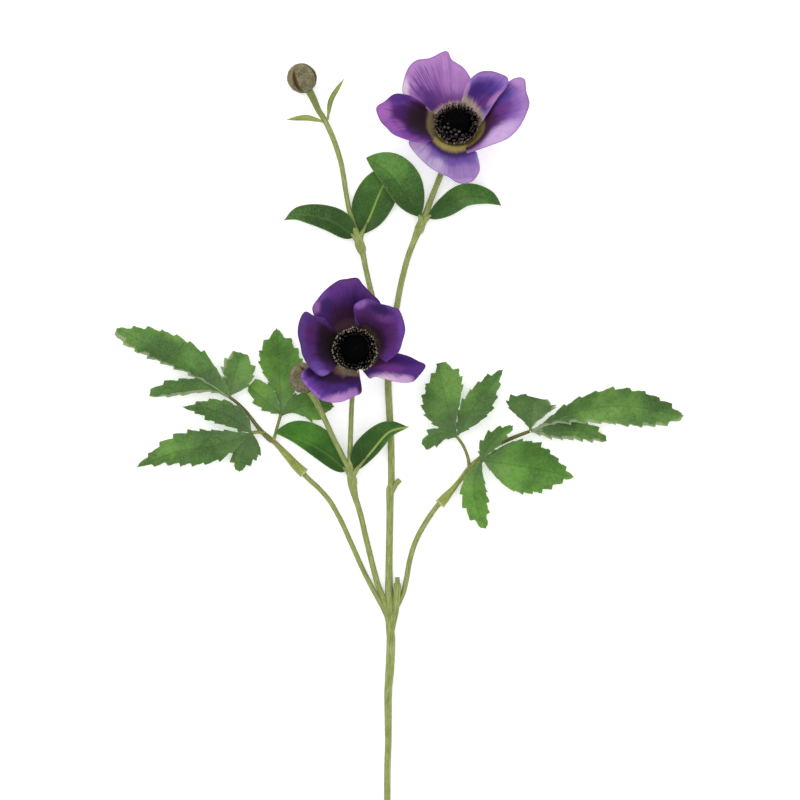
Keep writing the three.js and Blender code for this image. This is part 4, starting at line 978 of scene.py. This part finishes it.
for seed, (name, bud) in enumerate(BUDS.items()):
    skin, fuzz = bud_paint(name + "_skin"), fuzz_paint(name + "_fuzz")
    make_piece(name, bud_shape(bud, seed + 11), "bud", skin, fuzz)


# Leaves
LEAF_WAVE = 0.5
LEAF_WAVES = 13
RIB_HIGH = 0.55
RIB_WIDE = 0.55
TOOTH_STEPS = (0, 0.12, 0.26, 0.4, 0.54, 0.65, TOOTH_AT, 0.8, 0.9)
TOOTH_OUT = 1.5
TOOTH_HOLLOW = 1.2
TOOTH_MEAN = 0.95  # teeth are as long as this share, more or less
TOOTH_RANGE = 0.7
FINE_TOOTH = 0.9
TOOTH_LEAN = 1.5  # how far a tooth's point leans towards the leaf's tip
SMOOTH_LEAF_ROWS = 64
LEAF_COLS = 22
CROWDING = 1.15  # above 1, the columns crowd towards the rib
PALE_UNDER = (116, 142, 96)
BLADE_DUSK = (26, 0.45, (92, 108, 80))
SMOOTH_DUSK = (36, 0.75, (42, 70, 30))
BRACT_DUSK = (8, 0.2, (104, 128, 56))
BRACT_TONES = [(118, 134, 52), (144, 158, 68), (160, 172, 84)]
BRACT_VEIN = ((168, 182, 104), 0.5)
BLADE_VEIN = ((60, 92, 42), 0.28)
BLOOM = (150, 166, 122)
GREY_BLOOM = (122, 138, 104)
DARK_BLOTS = (34, 58, 26)
# Painted shade: one half of a blade is darker, as light falls on its folded halves.
SHADED_HALF = (222, 228, 214)
# Painted highlight: paler along the lit margins of a blade.
LIT_MARGIN = (138, 156, 104)
HEM = (164, 172, 138)


def leaf_sheet(shape, leaf, seed, rib_high=RIB_HIGH, thick=LEAF_THICK):
    """One leaf or leaflet. Its mark is the distance from the rib, the length along it and the half
    width there."""
    rib, wide, peak, fold = leaf["rib"], leaf["wide"], leaf["peak"], leaf["fold"]
    teeth = leaf.get("teeth", 0)
    slope = leaf.get("slope", (LEAF_SLOPE, LEAF_SLOPE))
    tip = leaf.get("tip", (TIP, TIP))
    if teeth:
        stops = [(k + part) / teeth for k in range(teeth) for part in TOOTH_STEPS] + [1]
    else:
        stops = [i / SMOOTH_LEAF_ROWS for i in range(SMOOTH_LEAF_ROWS + 1)]
    length = sum(math.dist(rib[i], rib[i + 1]) for i in range(len(rib) - 1))
    grid, marks = [], []
    for t in stops:
        ahead = heading(rib, t)
        side = UP.cross(ahead).normalized()
        up = ahead.cross(side)
        middle = Vector(spline(rib, t))
        phase = t * teeth % 1
        point_share = phase / TOOTH_AT if phase < TOOTH_AT else (1 - phase) / (1 - TOOTH_AT)
        line, line_marks = [], []
        for j in range(LEAF_COLS + 1):
            even = 2 * j / LEAF_COLS - 1
            across = math.copysign(abs(even) ** CROWDING, even)
            half = 0 if across > 0 else 1
            edge = wide[half] * hump(t, peak[half], slope[half])
            tooth = min(TOOTH, edge * THIN_TOOTH) if teeth else 0
            chance = noise.noise(Vector((math.floor(t * teeth) * 3.7, half * 5, seed + 0.5)))
            cut = tooth * (1 - TOOTH_OUT * point_share**TOOTH_HOLLOW * (TOOTH_MEAN + TOOTH_RANGE * chance))
            cut += FINE_TOOTH * tooth * abs(noise.noise(Vector((t * teeth * 2.6, half * 9, seed))))
            width = max(NECK * (1 - t), tip[half] * t**BLUNTING, edge - cut)
            reach = width * across
            lean = TOOTH_LEAN * point_share * min(1, edge / 4) * abs(across) ** 4 if tooth else 0
            lift = abs(reach) * math.tan(math.radians(fold[half]))
            roll = math.sin(t * LEAF_WAVES + 2.4 * seed + 2 * half)
            wave = LEAF_WAVE * abs(across) ** 2 * min(1, edge / 6) * roll
            ridge = rib_high * math.exp(-((reach / RIB_WIDE) ** 2)) * (1 - 0.6 * t)
            line.append(middle + side * reach + ahead * lean + up * (lift + wave + ridge))
            line_marks.append((reach, t * length, width))
        grid.append(line)
        marks.append(line_marks)
    shape.sheet(grid, marks, thick)


def leaf_paint(name, tones, vein, dusk, under=PALE_UNDER, spacing=6.5, bloom=0.26, gloss=0.2, hem=0):
    """Green silk with a printed bloom. vein is [colour, strength], dusk [reach, strength, colour] of
    what dulls the foot, under the lower face and spacing the distance between side veins."""
    paint = Paint(name, roughness=0.6, sheen=0.03, gloss=gloss)
    off, along, half = paint.split(paint.mark)
    aside = paint.magnitude(off)
    fleck = paint.noise(1500, 3, 0.7)
    grey = paint.noise(130, 4, 0.6)
    paint.ramp(paint.noise(55, 3), zip((0.37, 0.5, 0.63), tones))
    paint.coat(BLOOM, fleck, 0.46, 0.66, 0, bloom)
    paint.coat(GREY_BLOOM, grey, 0.54, 0.72, 0, 1.15 * bloom)
    paint.coat(DARK_BLOTS, paint.noise(620, 2), 0.34, 0.54, 0.2, 0)
    paint.coat(dusk[2], along, 0, dusk[0], dusk[1], 0)
    row = paint.math("DIVIDE", paint.minus(along, paint.times(aside, 0.75)), spacing)
    side_vein = paint.span(paint.math("PINGPONG", row, 0.5), 0, 0.07, 1, 0)
    paint.cover(vein[0], paint.times(side_vein, vein[1] * 0.1))
    paint.cover(vein[0], paint.times(paint.span(aside, 0.25, 0.7, 1, 0), vein[1]))
    # Painted shade: one half of the blade is darker than the other, as light falls on the folded halves.
    paint.coat(SHADED_HALF, off, -2.5, 2.5, 0, 0.8, "MULTIPLY")
    # Painted highlight: paler along the lit margins.
    paint.coat(LIT_MARGIN, paint.minus(half, aside), 0.1, 0.7, 0.25, 0)
    if hem:
        inside = paint.plus(paint.minus(half, paint.times(off, hem)), paint.times(grey, 8))
        paint.coat(HEM, inside, 4.4, 5.8, 0.6, 0)
    paint.cover(under, paint.times(paint.shade, 0.6))
    return paint.finish(paint.bump(paint.minus(fleck, side_vein), 0.0002, 0.6))


def make_leaves(node, leaves, first_seed, slot, silk, **form):
    """The piece of one node of leaves or leaflets."""
    shape = Shape()
    for number, leaf in enumerate(leaves):
        leaf_sheet(shape, leaf, first_seed + number, **form)
    make_piece(node, shape, slot, silk)


for seed, (name, leaf) in enumerate(SMOOTH_LEAVES.items()):
    tones, vein, bloom = leaf["tones"], leaf["vein"], leaf["bloom"]
    silk = leaf_paint(name + "_silk", tones, vein, SMOOTH_DUSK, bloom=bloom, gloss=0.15)
    make_leaves(name, [leaf], seed, "leaf", silk)

bract_green = leaf_paint("bract_green", BRACT_TONES, BRACT_VEIN, BRACT_DUSK, under=(150, 166, 110))
for seed, (name, leaf) in enumerate(BRACTS.items()):
    make_leaves(name, [leaf], seed, "bract", bract_green, rib_high=0.2, thick=0.6)


# Stem, leaf stalks and blades
STEM_TONES = [(106, 120, 58), (144, 158, 84), (178, 188, 120)]
STALK_TONES = [(114, 124, 50), (146, 156, 70), (172, 180, 98)]
PALE_FLECK = (190, 196, 140)
DARK_FLECK = (104, 110, 64)
# Painted shade on the sides and underside of the stem and stalks
SHADED_UNDERSIDE = (150, 152, 128)
LIP = (208, 208, 164)
STEM_SIDES = 22
STALK_SIDES = 20
TWIG_SIDES = 14
BROWN_FROM = (58, 68)
JOINTS = [  # [x, y, z, how far the browning reaches, strength]
    (0.5, -4, 2.5, 9, 0.35), (1, 63.5, 2.3, 4, 0.3), (0, 139.5, 2, 4, 0.6), (17, 209, 3, 5, 0.3),
    (-16, 198, 2.8, 5, 0.3), (-20, 66.5, 5, 5, 0.3), (3.5, 65, 3, 4, 0.4), (5, 12, 4.5, 4, 0.4),
    (-42, 279, 6, 12, 0.8),
]

# Knots at the leaf joints, [middle, direction, radius, half length], and the feet of the smooth
# leaves, [share of the rib, radius]. Both are in this script alone.
KNOTS = [
    ((-15.6, 197.2, 2.7), (-1.5, 5, 0.1), 2.75, 3.9),
    ((16.8, 207.6, 2.9), (2.6, 5.5, 0.4), 2.75, 3.5),
    ((-20.3, 67.5, 5), (-0.7, 6.5, 0.8), 2.75, 3.9),
]
KNOT_ROWS = 8
KNOT_STEP = 0.6
JOINT_AT = {"bud": (-16.3, 199.5, 2.8), "top": (17.8, 210, 3), "middle": (-20.5, 69.5, 5)}
FOOT = [(0, 1.45), (0.1, 0.95), (0.24, 0.4)]
SHORT_FOOT = 0.28
LONG_FEET = ("bud_leaf_right", "middle_leaf_right")
FOOT_START = 1.6
FOOT_UP = 0.5


def stem_paint(name, tones, brown, lip=0):
    """Streaked green, with painted shade on its sides and underside. The shade attribute browns it,
    at the joints, and lip pales its start.
    """
    paint = Paint(name, roughness=0.6, sheen=0.1, gloss=0.3)
    _, upward, along = paint.split(paint.mark)
    streaks = paint.noise(1.6, 4, 0.65, paint.scaled(paint.mark, (1.4, 1.4, 0.09)))
    fleck = paint.noise(1100, 2)
    paint.ramp(streaks, zip((0.3, 0.5, 0.7), tones))
    paint.coat(brown, paint.noise(170, 3), 0.5, 0.75, 0, 0.35)
    paint.coat(brown, paint.shade, 0, 1, 0, 0.75)
    paint.coat(PALE_FLECK, fleck, 0.55, 0.75, 0, 0.3)
    paint.coat(DARK_FLECK, fleck, 0.3, 0.46, 0.3, 0)
    # Painted shade: darker on the sides and underneath, lighter on top.
    paint.coat(SHADED_UNDERSIDE, upward, -0.2, 1.5, 0.75, 0, "MULTIPLY")
    if lip:
        paint.coat(LIP, along, 0.5, 1.7, lip, 0)
    return paint.finish(paint.bump(paint.plus(streaks, paint.times(fleck, 0.9)), 0.0004, 0.7))


def browning(point):
    """How brown the nearest joint makes the stem."""
    shares = []
    for x, y, z, far, strength in JOINTS:
        shares.append(strength * math.exp(-(((point - Vector((x, y, z))).length / far) ** 2)))
    return max(shares)


def lumps(along, turn):
    """The stem's uneven wrapping."""
    coarse = noise.noise(Vector((math.cos(turn), math.sin(turn), along / 5)))
    fine = noise.noise(Vector((3 * math.cos(turn), 3 * math.sin(turn), along / 1.4)))
    return 0.09 * coarse + 0.05 * fine


def collar(along, turn):
    """A leaf stalk's wrapping, with a lip where it starts."""
    return lumps(along, turn) + 0.2 * math.exp(-(along**2))


def browned_end(point):
    """Leaf stalks turn brown towards their end blades."""
    return 0.05 + 0.75 * smooth(*BROWN_FROM, abs(point.x))


def knot(middle, direction, radius, half):
    """A swelling round the stem."""
    ahead = Vector(direction).normalized()
    rows = []
    for k in range(KNOT_ROWS + 1):
        way = 2 * k / KNOT_ROWS - 1
        rows.append([*(Vector(middle) + ahead * half * way), radius * math.sqrt(1 - 0.97 * way * way)])
    return rows


def foot(joint, rib, reach):
    """The short stalk of a leaf, from its joint on to its rib."""
    rows = [[*joint, FOOT_START]]
    for share, radius in FOOT:
        x, y, z = spline(rib, share * reach)
        rows.append([x, y, z + FOOT_UP * reach, radius])
    return rows


stem = Shape()
for route in STEM.values():
    stem.tube(route, STEM_SIDES, shade=browning, bumps=lumps)
for row in KNOTS:
    stem.tube(knot(*row), STEM_SIDES, step=KNOT_STEP, bumps=lumps)
for name, leaf in SMOOTH_LEAVES.items():
    reach = 1 if name in LONG_FEET else SHORT_FOOT
    stem.tube(foot(JOINT_AT[name.split("_")[0]], leaf["rib"], reach), TWIG_SIDES, bumps=lumps)
make_piece("stem", stem, "stem", stem_paint("stem_wrap", STEM_TONES, (104, 110, 50)))

stalk_wrap = stem_paint("stalk_wrap", STALK_TONES, (88, 74, 42), lip=0.45)
for leaf_name, (main, *twigs) in STALKS.items():
    stalk = Shape()
    stalk.tube(main, STALK_SIDES, bumps=collar, shade=browned_end)
    for twig in twigs:
        stalk.tube(twig, TWIG_SIDES, bumps=lumps, shade=lambda point: 0.2)
    make_piece(leaf_name + "_stalk", stalk, "leaf_stalk", stalk_wrap)
    for group in ("end", "side", "inner"):
        node = f"{leaf_name}_blade_{group}"
        blade = BLADES[node]
        tones, hem, leaflets = blade["tones"], blade["hem"], blade["leaflets"]
        silk = leaf_paint(node + "_silk", tones, BLADE_VEIN, BLADE_DUSK, spacing=5.5, hem=hem)
        make_leaves(node, leaflets, 3 * len(group), "leaf", silk, rib_high=0.35)


# Surface, light and camera
FLOOR_HALF = 6
FLOOR_GLOW = 0.36
LIGHTS = {"window": ((-1.1, 1.3, 2), 20), "fill": ((1.4, -0.6, 2.2), 8)}
LIGHT_SIZE = 2.4
LIGHT_AIM = Vector((0, 0.05, 0))
ROOM_LIGHT = 0.82
CAMERA_AT = Vector((0.05, 48.75, 1615)) * MM
VIEW_WIDE = 440  # what the picture takes in, at the height VIEW_LEVEL
VIEW_LEVEL = 15
SENSOR = 36
CLIP_END = 20
WHITE = (1, 1, 1, 1)

corners = [(FLOOR_HALF * x, FLOOR_HALF * y, 0) for x, y in ((-1, -1), (1, -1), (1, 1), (-1, 1))]
surface = bpy.data.meshes.new("surface")
surface.from_pydata(corners, [], [(0, 1, 2, 3)])
paper = Paint("surface_paper", roughness=0.9, gloss=0.1)
paper.feed(paper.shader, {"Emission Color": WHITE, "Emission Strength": FLOOR_GLOW})
paper.colour = paper.mix(paper.noise(3, 2), rgb(252, 252, 252), rgb(255, 255, 255))
surface.materials.append(paper.finish())
floor = add_object("surface", surface)

for name, (place, power) in LIGHTS.items():
    light = bpy.data.lights.new(name, "AREA")
    light.size = LIGHT_SIZE
    light.energy = power
    lamp = add_object(name, light)
    lamp.location = place
    lamp.rotation_euler = (LIGHT_AIM - Vector(place)).to_track_quat("-Z", "Y").to_euler()

scene = bpy.context.scene
scene.view_settings.view_transform = "Standard"
scene.world = bpy.data.worlds.new("room")
scene.world.use_nodes = True
room = scene.world.node_tree.nodes["Background"]
room.inputs["Color"].default_value = WHITE
room.inputs["Strength"].default_value = ROOM_LIGHT

lens = bpy.data.cameras.new("camera")
lens.sensor_width = SENSOR
lens.lens = SENSOR * (CAMERA_AT.z / MM - VIEW_LEVEL) / VIEW_WIDE
lens.clip_end = CLIP_END
scene.camera = add_object("camera", lens)
scene.camera.location = CAMERA_AT
